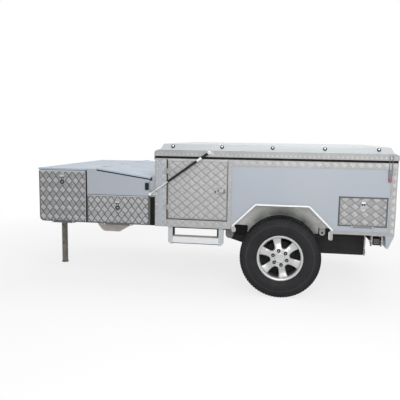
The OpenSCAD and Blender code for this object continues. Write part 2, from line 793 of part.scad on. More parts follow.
// Side-view direction of the arm, from its pivot to the axle
arm_fall = atan((pivot_z - tyre_r) / pivot_ahead);
arm_l = norm([pivot_ahead, pivot_z - tyre_r]);
bush_r = 36;
hanger_gap = 1;
bush_proud = hanger_gap - seat_gap;
boss_proud = 4;
coil_x = -64;
cup_t = 8;
function arm_top_z(x) = tyre_r + (trail_h / 2) / cos(arm_fall) - x * tan(arm_fall);
spring_z0 = arm_top_z(coil_x - coil_r) + cup_t;
tyre_in_y = half_w - tyre_w;
drum_y = tyre_in_y + 55;
module trailing_arms() color(black) place() both_sides() {
    y0 = -rail_y - trail_w / 2;
    y1 = -rail_y + trail_w / 2;
    difference() {
        union() {
            bar_y(y0 - bush_proud, y1 + bush_proud, -pivot_ahead, pivot_z, bush_r);
            translate([-pivot_ahead, y0, pivot_z]) rotate([0, arm_fall, 0])
                block([0, 0, -trail_h / 2], [arm_l + 90, trail_w, trail_h / 2]);
            bar_y(y0 - boss_proud, y1 + boss_proud, 0, tyre_r, trail_h / 2 + 6);
            block([coil_x - coil_r - 14, y0 - 34, arm_top_z(coil_x + coil_r) - 20],
                [coil_x + coil_r + 14, y1 + 34, spring_z0]);
        }
        bar_y(y0 - trail_w, y1 + trail_w, -pivot_ahead, pivot_z, pivot_bolt_r);
    }
    bar_y(-half_w + tyre_w / 2 - 36, y0, 0, tyre_r, stub_r);
    bar_y(-drum_y, -drum_y + 8, 0, tyre_r, backing_r);
    bar_y(y1 - boss_proud, y1 + 62, 60, tyre_r, shock_pin_r);
}

// Coil spring: a round wire swept up a helix, flat-seated between its cups
coil_sides = 8;
coil_steps = 20;
module coil_springs() color(black) place() both_sides() {
    rise = base_z - spring_z0 - 2 * wire_r;
    rings = coil_turns * coil_steps;
    points = [for (i = [0 : rings]) let (turn = 360 * i / coil_steps, z = spring_z0 + wire_r + rise * i / rings)
        for (s = [0 : coil_sides - 1]) let (a = 360 * s / coil_sides, r = coil_r + wire_r * cos(a))
            [coil_x + r * cos(turn), -rail_y + r * sin(turn), z + wire_r * sin(a)]];
    sides = [for (i = [0 : rings - 1], s = [0 : coil_sides - 1]) let (t = (s + 1) % coil_sides, k = i * coil_sides)
        [k + s, k + coil_sides + s, k + coil_sides + t, k + t]];
    ends = [[for (s = [0 : coil_sides - 1]) s], [for (s = [coil_sides - 1 : -1 : 0]) rings * coil_sides + s]];
    polyhedron(points, concat(sides, ends));
}

// Shock absorber beside each rail, from a pin on the arm to a pin on the rail
shock_pin_r = 9;
shock_low = [60, tyre_r];
shock_high = [190, base_z + rail_h / 2];
module shock_absorbers() color(galvanised) place() both_sides() {
    y = -rail_y + trail_w / 2 + 34;
    run = shock_high - shock_low;
    tilt = atan2(run[0], run[1]);
    length = norm(run);
    eye_r = 22;
    body_r = 24;
    difference() {
        union() {
            for (eye = [shock_low, shock_high]) bar_y(y - 18, y + 18, eye[0], eye[1], eye_r);
            translate([shock_low[0], y, shock_low[1]]) rotate([0, tilt, 0]) {
                cylinder(r=body_r, h=length * 0.58);
                cylinder(r=9, h=length);
                translate([0, 0, length * 0.5]) cylinder(r=28, h=length * 0.38);
            }
        }
        for (eye = [shock_low, shock_high]) bar_y(y - body_r - 1, y + body_r + 1, eye[0], eye[1], shock_pin_r);
    }
    bar_y(-rail_y + rail_w / 2, y + 24, shock_high[0], shock_high[1], shock_pin_r);
}

// Water tank between the rails and its two straps
strap_t = 4;
strap_w = 36;
tank_top_z = base_z - 10;
module tank_outline(out) soft_rect(tank_x - out, tank_top_z - tank_h - out, tank_x + tank_l + out, tank_top_z + out, 26);
module water_tank() color(black) place() slab(-tank_half_w, tank_half_w) tank_outline(0);

module tank_straps() color(galvanised) place() both_sides()
    slab(-rail_y - strap_w / 2 + 4, -rail_y + strap_w / 2 + 4) {
        intersection() {
            difference() {
                tank_outline(strap_t);
                tank_outline(0);
            }
            rect(tank_x - 2 * strap_t, 0, tank_x + tank_l + 2 * strap_t, tank_top_z - 30);
        }
        for (x = [tank_x - strap_t, tank_x + tank_l]) rect(x, tank_top_z - 31, x + strap_t, base_z);
    }

// Tie-down lug on each rail, behind the wheel
lug_x = 403;
lug_hole_z = base_z - 52;
lug_hole_r = 11;
lug_r = 27;
lug_t = 10;
module tie_down_lugs() color(galvanised) place() both_sides() {
    y0 = -rail_y - rail_w / 2 - lug_t;
    slab(y0, y0 + lug_t) difference() {
        union() {
            rect(lug_x - lug_r, lug_hole_z, lug_x + lug_r, base_z + 8);
            rect(lug_x - 2 * lug_r, base_z + 4, lug_x + 2 * lug_r, base_z + 50);
            translate([lug_x, lug_hole_z]) circle(lug_r);
        }
        translate([lug_x, lug_hole_z]) circle(lug_hole_r);
    }
}

// Folded valance across the rear, raked forward to its lower edge
valance_drop = 116;
valance_top_l = 76;
valance_foot_l = 18;
valance_rake = 47;
module rear_valance() color(paint) place() slab(-half_w, half_w) {
    foot_x = body_rear - valance_rake;
    foot_z = base_z - valance_drop;
    polygon([[body_rear - valance_top_l, base_z], [body_rear, base_z], [foot_x, foot_z],
        [foot_x - valance_foot_l, foot_z]]);
}

lamp_w = 90;
lamp_h = 210;
lamp_in = 60;
lamp_up = 70;
lamp_r = 14;
module tail_lamps() color(lens_red) place() both_sides()
    translate([body_rear, -half_w + lamp_in, base_z + lamp_up]) rotate([90, 0, 90]) linear_extrude(lamp_t)
        soft_rect(0, 0, lamp_w, lamp_h, lamp_r);

// Stabiliser legs fold up inwards under the rear of the body
leg_x = body_rear - leg_to_rear;
leg_y = half_w - leg_inset;
leg_z = base_z - 62;
cheek_t = 7;
cheek_gap = 8;
module leg_brackets() color(galvanised) place() both_sides() {
    half = leg_s / 2 + cheek_gap;
    for (x = [leg_x - half - cheek_t, leg_x + half]) translate([x, 0, 0]) rotate([90, 0, 90])
        linear_extrude(cheek_t) {
            rect(-leg_y - 50, leg_z, -leg_y + 50, base_z);
            translate([-leg_y, leg_z]) circle(50);
        }
    block([leg_x - half, -leg_y - 50, base_z - 8], [leg_x + half, -leg_y + 50, base_z]);
    bar_x(leg_x - half - cheek_t - 14, leg_x + half + cheek_t + 14, -leg_y, leg_z, leg_pin_r);
}

module stabiliser_leg() {
    foot = 88;
    foot_t = 8;
    tail = 36;
    wall = 6;
    difference() {
        block([leg_x - leg_s / 2, -leg_y - tail, leg_z - leg_s / 2],
            [leg_x + leg_s / 2, -leg_y + leg_l - foot_t, leg_z + leg_s / 2]);
        bar_x(leg_x - leg_s, leg_x + leg_s, -leg_y, leg_z, leg_pin_r + run_gap);
        block([leg_x - leg_s / 2 + wall, -leg_y - tail - 1, leg_z - leg_s / 2 + wall],
            [leg_x + leg_s / 2 - wall, -leg_y - tail + 16, leg_z + leg_s / 2 - wall]);
    }
    block([leg_x - foot / 2, -leg_y + leg_l - foot_t, leg_z - foot / 2],
        [leg_x + foot / 2, -leg_y + leg_l, leg_z + foot / 2]);
}
module leg_left() color(galvanised) place() stabiliser_leg();
module leg_right() color(galvanised) place() mirror([0, 1, 0]) stabiliser_leg();

// Over-centre catch near the rear of each side, its wire bail lying over the lid's keeper
catch_x = body_rear - 66;
catch_w = 32;
catch_h = 104;
catch_t = 16;
bail_r = 2.5;
keeper_h = 30;
keeper_t = 7;
module toggle_catches() color(alloy) place() both_sides() {
    z1 = top_z - 62;
    wire_y = -half_w - catch_t;
    wire_top = lid_z + lid_band_h / 2 + 12;
    slab(-half_w - 4, -half_w) rect(catch_x - catch_w / 2, z1 - catch_h, catch_x + catch_w / 2, z1);
    slab(-half_w - catch_t, -half_w - 4) soft_rect(catch_x - 11, z1 - catch_h + 4, catch_x + 11, z1 - 6, 8);
    for (side = [-1, 1]) translate([catch_x + side * 13, wire_y, z1 - 40]) cylinder(r=bail_r, h=wire_top - z1 + 40);
    bar_x(catch_x - 13, catch_x + 13, wire_y, wire_top, bail_r);
    bar_x(catch_x - 15, catch_x + 15, wire_y, z1 - 38, bail_r + 2);
}

// Gas struts

strut_y = -half_w - strut_out;
lid_front = body_front - lid_over;
strut_top = [lid_front + strut_back, lid_z + strut_up];
strut_foot = [body_front - strut_ahead, top_z - strut_drop];
strut_run = strut_top - strut_foot;
strut_l = norm(strut_run);
strut_tilt = atan2(strut_run[0], strut_run[1]);
strut_pin_r = 7;
strut_eye_r = 15;
strut_eye_t = 16;

module strut_brackets() color(galvanised) place() both_sides() {
    plate_t = 10;
    plate_r = 16;
    plate_back = 30;
    slab(-half_w - plate_t, -half_w) {
        rect(strut_foot[0], strut_foot[1] - plate_r, body_front + plate_back, strut_foot[1] + plate_r);
        translate(strut_foot) circle(plate_r);
    }
    bar_y(strut_y + strut_eye_t / 2 + seat_gap, -half_w - plate_t, strut_foot[0], strut_foot[1], strut_pin_r);
}

// Strut frame: from the lower pin, with Z up the strut
module strut_frame(side) place() mirror([0, side, 0])
    translate([strut_foot[0], strut_y, strut_foot[1]]) rotate([0, strut_tilt, 0]) children();

gland_l = 24;
module strut_barrel(side) color(black) strut_frame(side) difference() {
    union() {
        translate([0, 0, strut_l - barrel_l]) cylinder(r=barrel_r, h=barrel_l - strut_eye_r);
        translate([0, 0, strut_l - strut_eye_r - 1]) cylinder(r=barrel_r - 3, h=strut_eye_r);
        translate([0, strut_eye_t / 2, strut_l]) rotate([90, 0, 0]) cylinder(r=strut_eye_r, h=strut_eye_t);
    }
    translate([0, 0, strut_l - barrel_l - 1]) cylinder(r=rod_r + run_gap, h=gland_l + 2);
    translate([0, 0, strut_l - barrel_l + gland_l]) cylinder(r=barrel_r - 2, h=barrel_l - gland_l - 2 * strut_eye_r);
    translate([0, strut_eye_t, strut_l]) rotate([90, 0, 0]) cylinder(r=strut_pin_r + run_gap, h=2 * strut_eye_t);
}
module strut_rod(side) color(alloy) strut_frame(side) {
    cylinder(r=rod_r, h=strut_l - barrel_l + rod_hold);
    translate([0, strut_eye_t / 2, 0]) rotate([90, 0, 0]) cylinder(r=strut_eye_r - 1, h=strut_eye_t);
}
module strut_barrel_left() strut_barrel(0);
module strut_barrel_right() strut_barrel(1);
module strut_rod_left() strut_rod(0);
module strut_rod_right() strut_rod(1);

// Lid, hinged along its front edge so that it folds over forwards

lid_rear = body_rear + lid_over;
lid_half_w = half_w + lid_over;
lid_hinge_x = lid_front - 22;
lid_hinge_z = lid_z - 3;
lid_hinge_ys = [-700, 0, 700];
lid_pin_r = 7;
lid_lug_r = 12;
lid_hinge_l = 150;
lid_lug_l = 30;
module lid_hinge_pin(y) {
    half = lid_hinge_l / 2;
    bar_y(y - half, y + half, lid_hinge_x, lid_hinge_z, lid_pin_r);
    for (end = [y - half, y + half - lid_lug_l]) {
        bar_y(end, end + lid_lug_l, lid_hinge_x, lid_hinge_z, lid_lug_r);
        block([lid_hinge_x - lid_lug_r, end, lid_hinge_z - 40], [body_front, end + lid_lug_l, lid_hinge_z - 8]);
    }
}

// The band's walls; those across its ends are thick enough for their rounded upper edges
lid_end_t = lid_edge_r + 4;
module lid_inside(z0, z1) block([lid_front + lid_end_t, -lid_half_w + lid_t, z0],
    [lid_rear - lid_end_t, lid_half_w - lid_t, z1]);

module lid_frame() color(tread_plate) place() {
    r = lid_edge_r;
    difference() {
        slab(-lid_half_w, lid_half_w) intersection() {
            soft_rect(lid_front, lid_z - r, lid_rear, band_top_z, r);
            rect(lid_front, lid_z, lid_rear, band_top_z);
        }
        lid_inside(lid_z - 1, band_top_z + 1);
    }
    difference() {
        for (y = lid_hinge_ys) {
            half = lid_hinge_l / 2 - lid_lug_l - 3;
            bar_y(y - half, y + half, lid_hinge_x, lid_hinge_z, lid_lug_r);
            block([lid_hinge_x, y - half, lid_hinge_z], [lid_front, y + half, lid_hinge_z + lid_lug_r]);
        }
        for (y = lid_hinge_ys)
            bar_y(y - lid_hinge_l, y + lid_hinge_l, lid_hinge_x, lid_hinge_z, lid_pin_r + run_gap);
    }
}

// Boarding on the lid's underside, which is the floor of the folded-out half
board_up = 4;
module lid_board() color(ply) place() lid_inside(lid_z + board_up, lid_z + board_up + board_t);

// Raised pan with sloping sides, as the part common to two trapezium bars
module pan_solid(t) {
    x0 = lid_front + pan_front_inset + t;
    x1 = lid_rear - pan_rear_inset - t;
    y = lid_half_w - pan_inset - t;
    rise = lid_pan_h - t;
    intersection() {
        slab(-y, y) polygon([[x0, band_top_z], [x1, band_top_z], [x1 - pan_slope, band_top_z + rise],
            [x0 + pan_slope, band_top_z + rise]]);
        translate([x0, 0, 0]) rotate([90, 0, 90]) linear_extrude(x1 - x0)
            polygon([[-y, band_top_z], [y, band_top_z], [y - pan_slope, band_top_z + rise],
                [-y + pan_slope, band_top_z + rise]]);
    }
}
pan_t = 6;
module lid_pan() color(pale_skin) place() {
    difference() {
        pan_solid(0);
        translate([0, 0, -0.01]) pan_solid(pan_t);
    }
    translate([0, 0, band_top_z]) linear_extrude(pan_t) difference() {
        translate([lid_front + lid_edge_r, -lid_half_w])
            square([lid_rear - lid_front - 2 * lid_edge_r, 2 * lid_half_w]);
        translate([lid_front + pan_front_inset + 1, -lid_half_w + pan_inset + 1])
            square([lid_rear - lid_front - pan_front_inset - pan_rear_inset - 2, 2 * (lid_half_w - pan_inset - 1)]);
    }
}

module lid_studs() color(black) place() both_sides() {
    mid = (lid_front + lid_rear) / 2;
    share = 0.58;
    for (i = [0 : stud_n - 1])
        translate([mid + (i - (stud_n - 1) / 2) * stud_pitch, -lid_half_w + pan_inset + share * pan_slope,
            band_top_z + share * lid_pan_h]) rotate([atan2(lid_pan_h, pan_slope), 0, 0]) {
            cylinder(r=stud_r, h=8);
            cylinder(r=stud_r * 0.55, h=13);
        }
}

module lid_fittings() color(galvanised) place() both_sides() {
    slab(-lid_half_w - 8, -lid_half_w)
        soft_rect(strut_top[0] - 34, strut_top[1] - 24, strut_top[0] + 34, strut_top[1] + 12, 8);
    bar_y(strut_y - strut_eye_t / 2 - 4, -lid_half_w - 8, strut_top[0], strut_top[1], strut_pin_r);
    slab(-lid_half_w - keeper_t, -lid_half_w)
        rect(catch_x - 9, lid_z + lid_band_h / 2 - keeper_h / 2, catch_x + 9, lid_z + lid_band_h / 2 + keeper_h / 2);
}

module hatch() drop_door(hatch_x0 + door_gap, hatch_x1 - door_gap, hatch_z0 + door_gap, hatch_z1 - 80)
    rect(hatch_x0 + door_gap, hatch_z0 + door_gap, hatch_x1 - door_gap, hatch_z1 - door_gap);
module hatch_left() color(tread_plate) place() hatch();
module hatch_right() color(tread_plate) place() mirror([0, 1, 0]) hatch();

// Wheels, made on Z with their outer face upwards, then turned outwards to each side
wheel_y = half_w - tyre_w / 2;
module on_axle(side) place() mirror([0, side, 0]) translate([0, -wheel_y, tyre_r]) rotate([90, 0, 0]) children();

half_tyre = tyre_w / 2;
bead_gap = 0.2;
module tyre(side) color(black) on_axle(side) {
    wide = tyre_r - seat_r;
    // Half section of the tyre: share of its height above the seat, share of its half width
    half_section = [[bead_gap / wide, 0.76], [0.11, 0.76], [0.16, 0.86], [0.42, 0.985], [0.58, 1.0], [0.74, 0.975],
        [0.90, 0.90], [0.965, 0.83], [1, 0.72]];
    rotate_extrude($fn=96) polygon([for (s = half_section) [seat_r + s[0] * wide, -s[1] * half_tyre],
        for (s = backwards(half_section)) [seat_r + s[0] * wide, s[1] * half_tyre]]);
}
module tyre_left() tyre(0);
module tyre_right() tyre(1);

rim_half = half_tyre * 0.86;
rim_wall = 9;
disc_z = 62;
disc_t = 26;
hub_face_z = 20;
hub_pad_r = 92;
cap_r = 55;
nut_r = 12;
window_in = 104;
window_out = 186;
spoke_in_w = 66;
spoke_out_w = 92;
module rim(side) color(alloy) on_axle(side) {
    lip_z = rim_half;
    inner = seat_r - rim_wall;
    rotate_extrude($fn=96) polygon([[inner, -lip_z], [seat_r + flange_h, -lip_z], [seat_r + flange_h, -lip_z + 6],
        [seat_r, -lip_z + 8], [seat_r, lip_z - 8], [seat_r + flange_h, lip_z - 6], [seat_r + flange_h, lip_z],
        [inner + 4, lip_z], [inner, lip_z - 10]]);
    difference() {
        union() {
            translate([0, 0, disc_z]) cylinder(r=inner, h=disc_t, $fn=96);
            translate([0, 0, hub_face_z]) cylinder(r=hub_pad_r, h=disc_z + disc_t - hub_face_z);
        }
        for (i = [0 : spoke_n - 1]) rotate([0, 0, spoke_turn + (i + 0.5) * 360 / spoke_n])
            translate([0, 0, disc_z - 1]) linear_extrude(disc_t + 2) spoke_window();
        translate([0, 0, hub_face_z - 1]) cylinder(r=stub_r + 16, h=disc_z - hub_face_z);
        for (i = [0 : spoke_n - 1]) rotate([0, 0, spoke_turn + i * 360 / spoke_n])
            translate([nut_pcd / 2, 0, disc_z + disc_t - 10]) cylinder(r=nut_r + 4, h=11);
    }
    for (i = [0 : spoke_n - 1]) rotate([0, 0, spoke_turn + i * 360 / spoke_n])
        translate([nut_pcd / 2, 0, disc_z + disc_t - 11]) cylinder(r=nut_r, h=18, $fn=6);
    translate([0, 0, disc_z + disc_t - 1]) cylinder(r=cap_r, h=15);
}

// Window between two spokes, along X: narrow at the hub, wide at the barrel, round at both ends
module spoke_window() {
    step = 360 / spoke_n;
    half_in = window_in * sin(step / 2) - spoke_in_w / 2 / cos(step / 2);
    half_out = window_out * sin(step / 2) - spoke_out_w / 2;
    near_r = max(half_in, 8);
    intersection() {
        union() {
            polygon([[window_in + near_r, -near_r], [window_out, -half_out], [window_out, half_out],
                [window_in + near_r, near_r]]);
            translate([window_in + near_r, 0]) circle(near_r);
        }
        circle(window_out - 4, $fn=96);
    }
}
module rim_left() rim(0);
module rim_right() rim(1);

// Hub with its brake drum, turning on the stub axle
module hub(side) color(black) on_axle(side) difference() {
    z0 = wheel_y - drum_y - 12;
    union() {
        translate([0, 0, -8]) cylinder(r=drum_r * 0.55, h=hub_face_z + 8);
        translate([0, 0, -z0]) cylinder(r=drum_r, h=z0 - 8);
        translate([0, 0, -10]) cylinder(r=drum_r * 0.86, h=14);
    }
    translate([0, 0, -z0 - 1]) cylinder(r=stub_r + run_gap, h=z0 + hub_face_z + 2);
}
module hub_left() hub(0);
module hub_right() hub(1);

chassis_rails();
cross_members();
drawbar_arms();
coupling();
jack_sleeve();
floor();
front_wall();
rear_wall();
side_frames();
side_panels();
side_doors();
wheel_arches();
seals();
front_box();
locker_box();
gap_posts();
front_tank();
step_posts();
step_treads();
arm_hangers();
trailing_arms();
coil_springs();
shock_absorbers();
water_tank();
tank_straps();
tie_down_lugs();
rear_valance();
tail_lamps();
leg_brackets();
toggle_catches();
strut_brackets();
side_vents();
lid_frame();
lid_pan();
lid_board();
lid_studs();
lid_fittings();
strut_barrel_left();
strut_barrel_right();
strut_rod_left();
strut_rod_right();
front_door_left();
front_door_right();
locker_door_left();
locker_door_right();
locker_lid();
hatch_left();
hatch_right();
tyre_left();
tyre_right();
rim_left();
rim_right();
hub_left();
hub_right();
jack_leg();
leg_left();
leg_right();
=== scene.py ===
"""Off-road camper trailer, parked on its wheels and jack: the finish of every piece around the solids."""

import bpy
import numpy as np
from mathutils import Matrix, Vector


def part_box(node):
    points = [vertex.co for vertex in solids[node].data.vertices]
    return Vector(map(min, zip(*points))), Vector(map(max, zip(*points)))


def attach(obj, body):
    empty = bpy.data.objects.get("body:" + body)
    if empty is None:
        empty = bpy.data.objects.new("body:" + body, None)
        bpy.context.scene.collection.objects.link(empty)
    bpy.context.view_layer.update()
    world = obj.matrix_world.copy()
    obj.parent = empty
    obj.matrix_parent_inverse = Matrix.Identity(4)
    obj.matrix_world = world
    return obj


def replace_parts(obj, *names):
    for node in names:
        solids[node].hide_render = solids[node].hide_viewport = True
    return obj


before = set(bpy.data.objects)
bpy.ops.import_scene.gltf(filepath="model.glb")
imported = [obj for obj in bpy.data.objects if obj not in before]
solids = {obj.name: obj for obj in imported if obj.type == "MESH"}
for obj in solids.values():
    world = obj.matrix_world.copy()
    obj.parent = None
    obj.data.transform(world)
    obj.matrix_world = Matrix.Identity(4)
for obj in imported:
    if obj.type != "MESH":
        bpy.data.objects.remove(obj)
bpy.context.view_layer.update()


# Camera
# Stands a little behind the axle on the left side, at about head height, looking slightly forward and down.
# Its place and turn come from the outlines of the tyre, the body and the boxes.
axle_x, axle_z = (sum(corner[axis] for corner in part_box("tyre_left")) / 2 for axis in (0, 2))
eye = Vector((axle_x + 0.009, -5.598, 1.528))
yaw, pitch, roll = np.radians([-9.46, 7.23, -0.84])
ahead = np.array([np.sin(yaw) * np.cos(pitch), np.cos(yaw) * np.cos(pitch), -np.sin(pitch)])
level = np.array([np.cos(yaw), -np.sin(yaw), 0.0])
below = np.cross(ahead, level)
right = np.cos(roll) * level + np.sin(roll) * below
up = np.sin(roll) * level - np.cos(roll) * below
camera_data = bpy.data.cameras.new("camera")
camera_data.sensor_width = 36.0
camera_data.lens = 45.1
camera = bpy.data.objects.new("camera", camera_data)
camera.matrix_world = Matrix.Translation(eye) @ Matrix(np.column_stack([right, up, -ahead])).to_4x4()
bpy.context.scene.collection.objects.link(camera)
bpy.context.scene.camera = camera


# Light and floor
# Even daylight: a pale sky all round, one broad soft lamp high on the left side, and one overhead.
# The floor is white, keeps the trailer's shadow, and away from the trailer runs into a white background.
def wire(tree, made, inputs):
    """Fills a node's inputs, each with a value or from another node's output."""
    for socket, value in inputs.items():
        if isinstance(value, bpy.types.NodeSocket):
            tree.links.new(value, made.inputs[socket])
        else:
            made.inputs[socket].default_value = value


def node(tree, kind, inputs, output=0, **settings):
    """One output of a new shader node, with its own settings made and its inputs filled."""
    made = tree.nodes.new(kind)
    for name, value in settings.items():
        setattr(made, name, value)
    wire(tree, made, inputs)
    return made.outputs[output]


def shader_of(name, metallic=0.0):
    """New material: returns it, its node tree, its shader and the object's own coordinates."""
    material = bpy.data.materials.new(name)
    material.use_nodes = True
    tree = material.node_tree
    shader = tree.nodes["Principled BSDF"]
    shader.inputs["Metallic"].default_value = metallic
    return material, tree, shader, node(tree, "ShaderNodeTexCoord", {}, "Object")


def seen_or_mirrored(tree):
    """One for camera, glossy and transmission rays, and nought for the rays that light the trailer."""
    rays = tree.nodes.new("ShaderNodeLightPath").outputs
    mirrored = node(tree, "ShaderNodeMath", {0: rays["Is Glossy Ray"], 1: rays["Is Transmission Ray"]},
                    operation="MAXIMUM")
    return node(tree, "ShaderNodeMath", {0: mirrored, 1: rays["Is Camera Ray"]}, operation="MAXIMUM")


def soft_lamp(name, place, aim, size, power):
    """Square area lamp at a place, turned towards a point."""
    data = bpy.data.lights.new(name, "AREA")
    data.size = size
    data.energy = power
    lamp = bpy.data.objects.new(name, data)
    lamp.location = place
    lamp.rotation_euler = (Vector(aim) - Vector(place)).to_track_quat("-Z", "Y").to_euler()
    bpy.context.scene.collection.objects.link(lamp)


bpy.context.scene.view_settings.view_transform = "Standard"
sky_strength = 0.44
world = bpy.data.worlds.new("daylight")
world.use_nodes = True
bpy.context.scene.world = world
sky_tree = world.node_tree
sky_seen = node(sky_tree, "ShaderNodeMapRange", {
    "Value": seen_or_mirrored(sky_tree), "To Min": sky_strength, "To Max": 1.0}, "Result")
wire(sky_tree, sky_tree.nodes["Background"], {"Color": (1.0, 1.0, 1.0, 1.0), "Strength": sky_seen})
body_middle = (0.7, 0.0, 0.9)
soft_lamp("lamp_side", (1.5, -5.0, 3.0), body_middle, size=3.2, power=148.0)
soft_lamp("lamp_overhead", (1.2, 0.6, 5.4), body_middle, size=4.5, power=120.0)

floor_half, floor_share_lit = 30.0, 0.22
shadow_near, shadow_far = 2.2, 5.5
floor_mesh = bpy.data.meshes.new("floor_sheet")
floor_corners = floor_half * np.array([[-1, -1, 0], [1, -1, 0], [1, 1, 0], [-1, 1, 0]])
floor_mesh.from_pydata(floor_corners.tolist(), [], [[0, 1, 2, 3]])
floor_white, floor_tree, floor_shader, floor_place = shader_of("floor_white")
wire(floor_tree, floor_shader, {
    "Base Color": (0.90, 0.90, 0.90, 1.0), "Roughness": 0.9, "Specular IOR Level": 0.0})
floor_reach = node(floor_tree, "ShaderNodeVectorMath", {0: floor_place}, "Value", operation="LENGTH")
floor_fade = node(floor_tree, "ShaderNodeMapRange", {
    "Value": floor_reach, "From Min": shadow_near, "From Max": shadow_far,
    "To Min": 1.0 - floor_share_lit, "To Max": 1.0}, "Result", interpolation_type="SMOOTHSTEP")
floor_seen = node(floor_tree, "ShaderNodeMath", {0: seen_or_mirrored(floor_tree), 1: floor_fade},
                  operation="MULTIPLY")
floor_glow = node(floor_tree, "ShaderNodeEmission", {"Strength": 1.0})
floor_mix = node(floor_tree, "ShaderNodeMixShader", {
    "Fac": floor_seen, 1: floor_shader.outputs[0], 2: floor_glow})
wire(floor_tree, floor_tree.nodes["Material Output"], {"Surface": floor_mix})
floor_mesh.materials.append(floor_white)
floor_sheet = bpy.data.objects.new("floor_sheet", floor_mesh)
bpy.context.scene.collection.objects.link(floor_sheet)


# Chassis
# Rails, cross members, outriggers and the A-frame's arms are welded box section, hot-dip galvanised.
# The zinc shows a grey spangle with darker, duller stains.
def spread_of(tree, value, low, high, start=0.3, end=0.7):
    """A value's range from start to end, stretched over low to high."""
    return node(tree, "ShaderNodeMapRange", {
        "Value": value, "From Min": start, "From Max": end, "To Min": low, "To Max": high}, "Result")


def mottle(tree, where, scale, low, high, stretch=(1.0, 1.0, 1.0), detail=4.0):
    """Cloudy noise of a scale per metre, drawn out along the axes by stretch, from low to high."""
    drawn = node(tree, "ShaderNodeMapping", {"Vector": where, "Scale": stretch})
    cloud = node(tree, "ShaderNodeTexNoise", {"Vector": drawn, "Scale": scale, "Detail": detail}, "Fac")
    return spread_of(tree, cloud, low, high)


def blend_tones(tree, share, first, second):
    """Mix of two colours, each a tuple or another node's colour, by a share. The node's sockets go by number,
    because its float, vector and colour sockets have the same names."""
    first, second = ((*tone, 1.0) if isinstance(tone, tuple) else tone for tone in (first, second))
    return node(tree, "ShaderNodeMix", {0: share, 6: first, 7: second}, 2, data_type="RGBA")


def grain(tree, shader, height, distance):
    """Bump of a height map, in metres at the map's one."""
    bump = node(tree, "ShaderNodeBump", {"Height": height, "Distance": distance, "Strength": 1.0})
    wire(tree, shader, {"Normal": bump})


zinc_metallic, crystal_scale, stain_scale, zinc_rough_scale, zinc_grain_scale = 0.35, 70.0, 3.5, 30.0, 180.0
zinc_grain = 0.0004
bevel_steps, bevel_angle, weld_reach = 2, np.radians(40.0), 1e-5


def zinc_coat(name, pale, dull, stain):
    """Galvanised steel: flat crystals of two greys, clouded over by stain."""
    material, tree, shader, where = shader_of(name, zinc_metallic)
    crystals = node(tree, "ShaderNodeTexVoronoi", {"Vector": where, "Scale": crystal_scale}, "Color")
    facet = node(tree, "ShaderNodeSeparateColor", {"Color": crystals}, "Red")
    cloud = mottle(tree, where, stain_scale, 0.0, 0.75)
    wire(tree, shader, {
        "Base Color": blend_tones(tree, cloud, blend_tones(tree, facet, pale, dull), stain),
        "Roughness": mottle(tree, where, zinc_rough_scale, 0.38, 0.62)})
    grain(tree, shader, mottle(tree, where, zinc_grain_scale, 0.0, 1.0), zinc_grain)
    return material


def dress(material, *names, bevel=0.0):
    """Gives solids a material, and breaks their sharp edges with a small bevel where one is asked for."""
    for name in names:
        solid = solids[name]
        solid.data.materials.clear()
        solid.data.materials.append(material)
        if bevel:
            weld = solid.modifiers.new("weld", "WELD")
            weld.merge_threshold = weld_reach
            round_over = solid.modifiers.new("round_over", "BEVEL")
            round_over.width = bevel
            round_over.segments = bevel_steps
            round_over.limit_method = "ANGLE"
            round_over.angle_limit = bevel_angle
            round_over.harden_normals = True


# The chassis zinc is much darker than the zinc on brackets and arches: painted shade of the underside
zinc = zinc_coat("zinc", (0.34, 0.35, 0.36), (0.25, 0.26, 0.27), (0.17, 0.175, 0.17))
dress(zinc, "chassis_rails", "cross_members", "drawbar_arms", "arm_hangers", "tank_straps",
      "shock_absorbers")


# Running gear in black
# The coupling, trailing arms, springs, brake drums and stabiliser legs are steel in brushed chassis enamel.
# Dust lies on it in clouds, and the enamel has a slight orange peel.
sheen_finer, sheen_spread = 5.0, 0.08


def coated(name, tone, worn, roughness, cloud=6.0, share=0.8, peel=0.0, peel_scale=300.0, metallic=0.0,
           gloss=0.5):
    """Painted, moulded or rubber surface: one tone clouded with a worn one, with a fine skin texture."""
    material, tree, shader, where = shader_of(name, metallic)
    wire(tree, shader, {
        "Specular IOR Level": gloss,
        "Base Color": blend_tones(tree, mottle(tree, where, cloud, 0.0, share), tone, worn),
        "Roughness": mottle(tree, where, sheen_finer * cloud, roughness - sheen_spread,
                            roughness + sheen_spread)})
    if peel:
        grain(tree, shader, mottle(tree, where, peel_scale, 0.0, 1.0), peel)
    return material


enamel = coated("enamel", (0.006, 0.006, 0.007), (0.016, 0.016, 0.015), 0.55, peel=0.0004, gloss=0.25)
dress(enamel, "coupling", "trailing_arms", "coil_springs", "hub_left", "hub_right", "leg_left", "leg_right")


# Wheels
# Cast alloy rims with six broad spokes, lacquered silver: a barrel with rolled flanges, a thick hub with six
# sunk nuts and a raised flat cap. The nuts sit in black wells, painted shade in their holes. A near-black
# liner inside the barrel, closed by a disc behind the hub, is painted shade of the wheel's inside. All are
# turned or swept about the axle.
sharp_angle = np.radians(35.0)


def piece(name, points, faces, material, body, slot):
    """New mesh in the trailer's frame, smooth but for edges over the sharp angle, riding on a body."""
    mesh = bpy.data.meshes.new(name)
    mesh.from_pydata(np.asarray(points).reshape(-1, 3).tolist(), [], faces)
    mesh.materials.append(material)
    mesh.shade_smooth()
    mesh.set_sharp_from_angle(angle=sharp_angle)
    made = bpy.data.objects.new(name, mesh)
    bpy.context.scene.collection.objects.link(made)
    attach(made, body)
    return made


def joined(parts):
    """Points and faces of several (points, faces) parts as one."""
    points, faces, first = [], [], 0
    for part_points, part_faces in parts:
        part_points = np.asarray(part_points).reshape(-1, 3)
        points.append(part_points)
        faces += [[first + corner for corner in face] for face in part_faces]
        first += len(part_points)
    return np.concatenate(points), faces


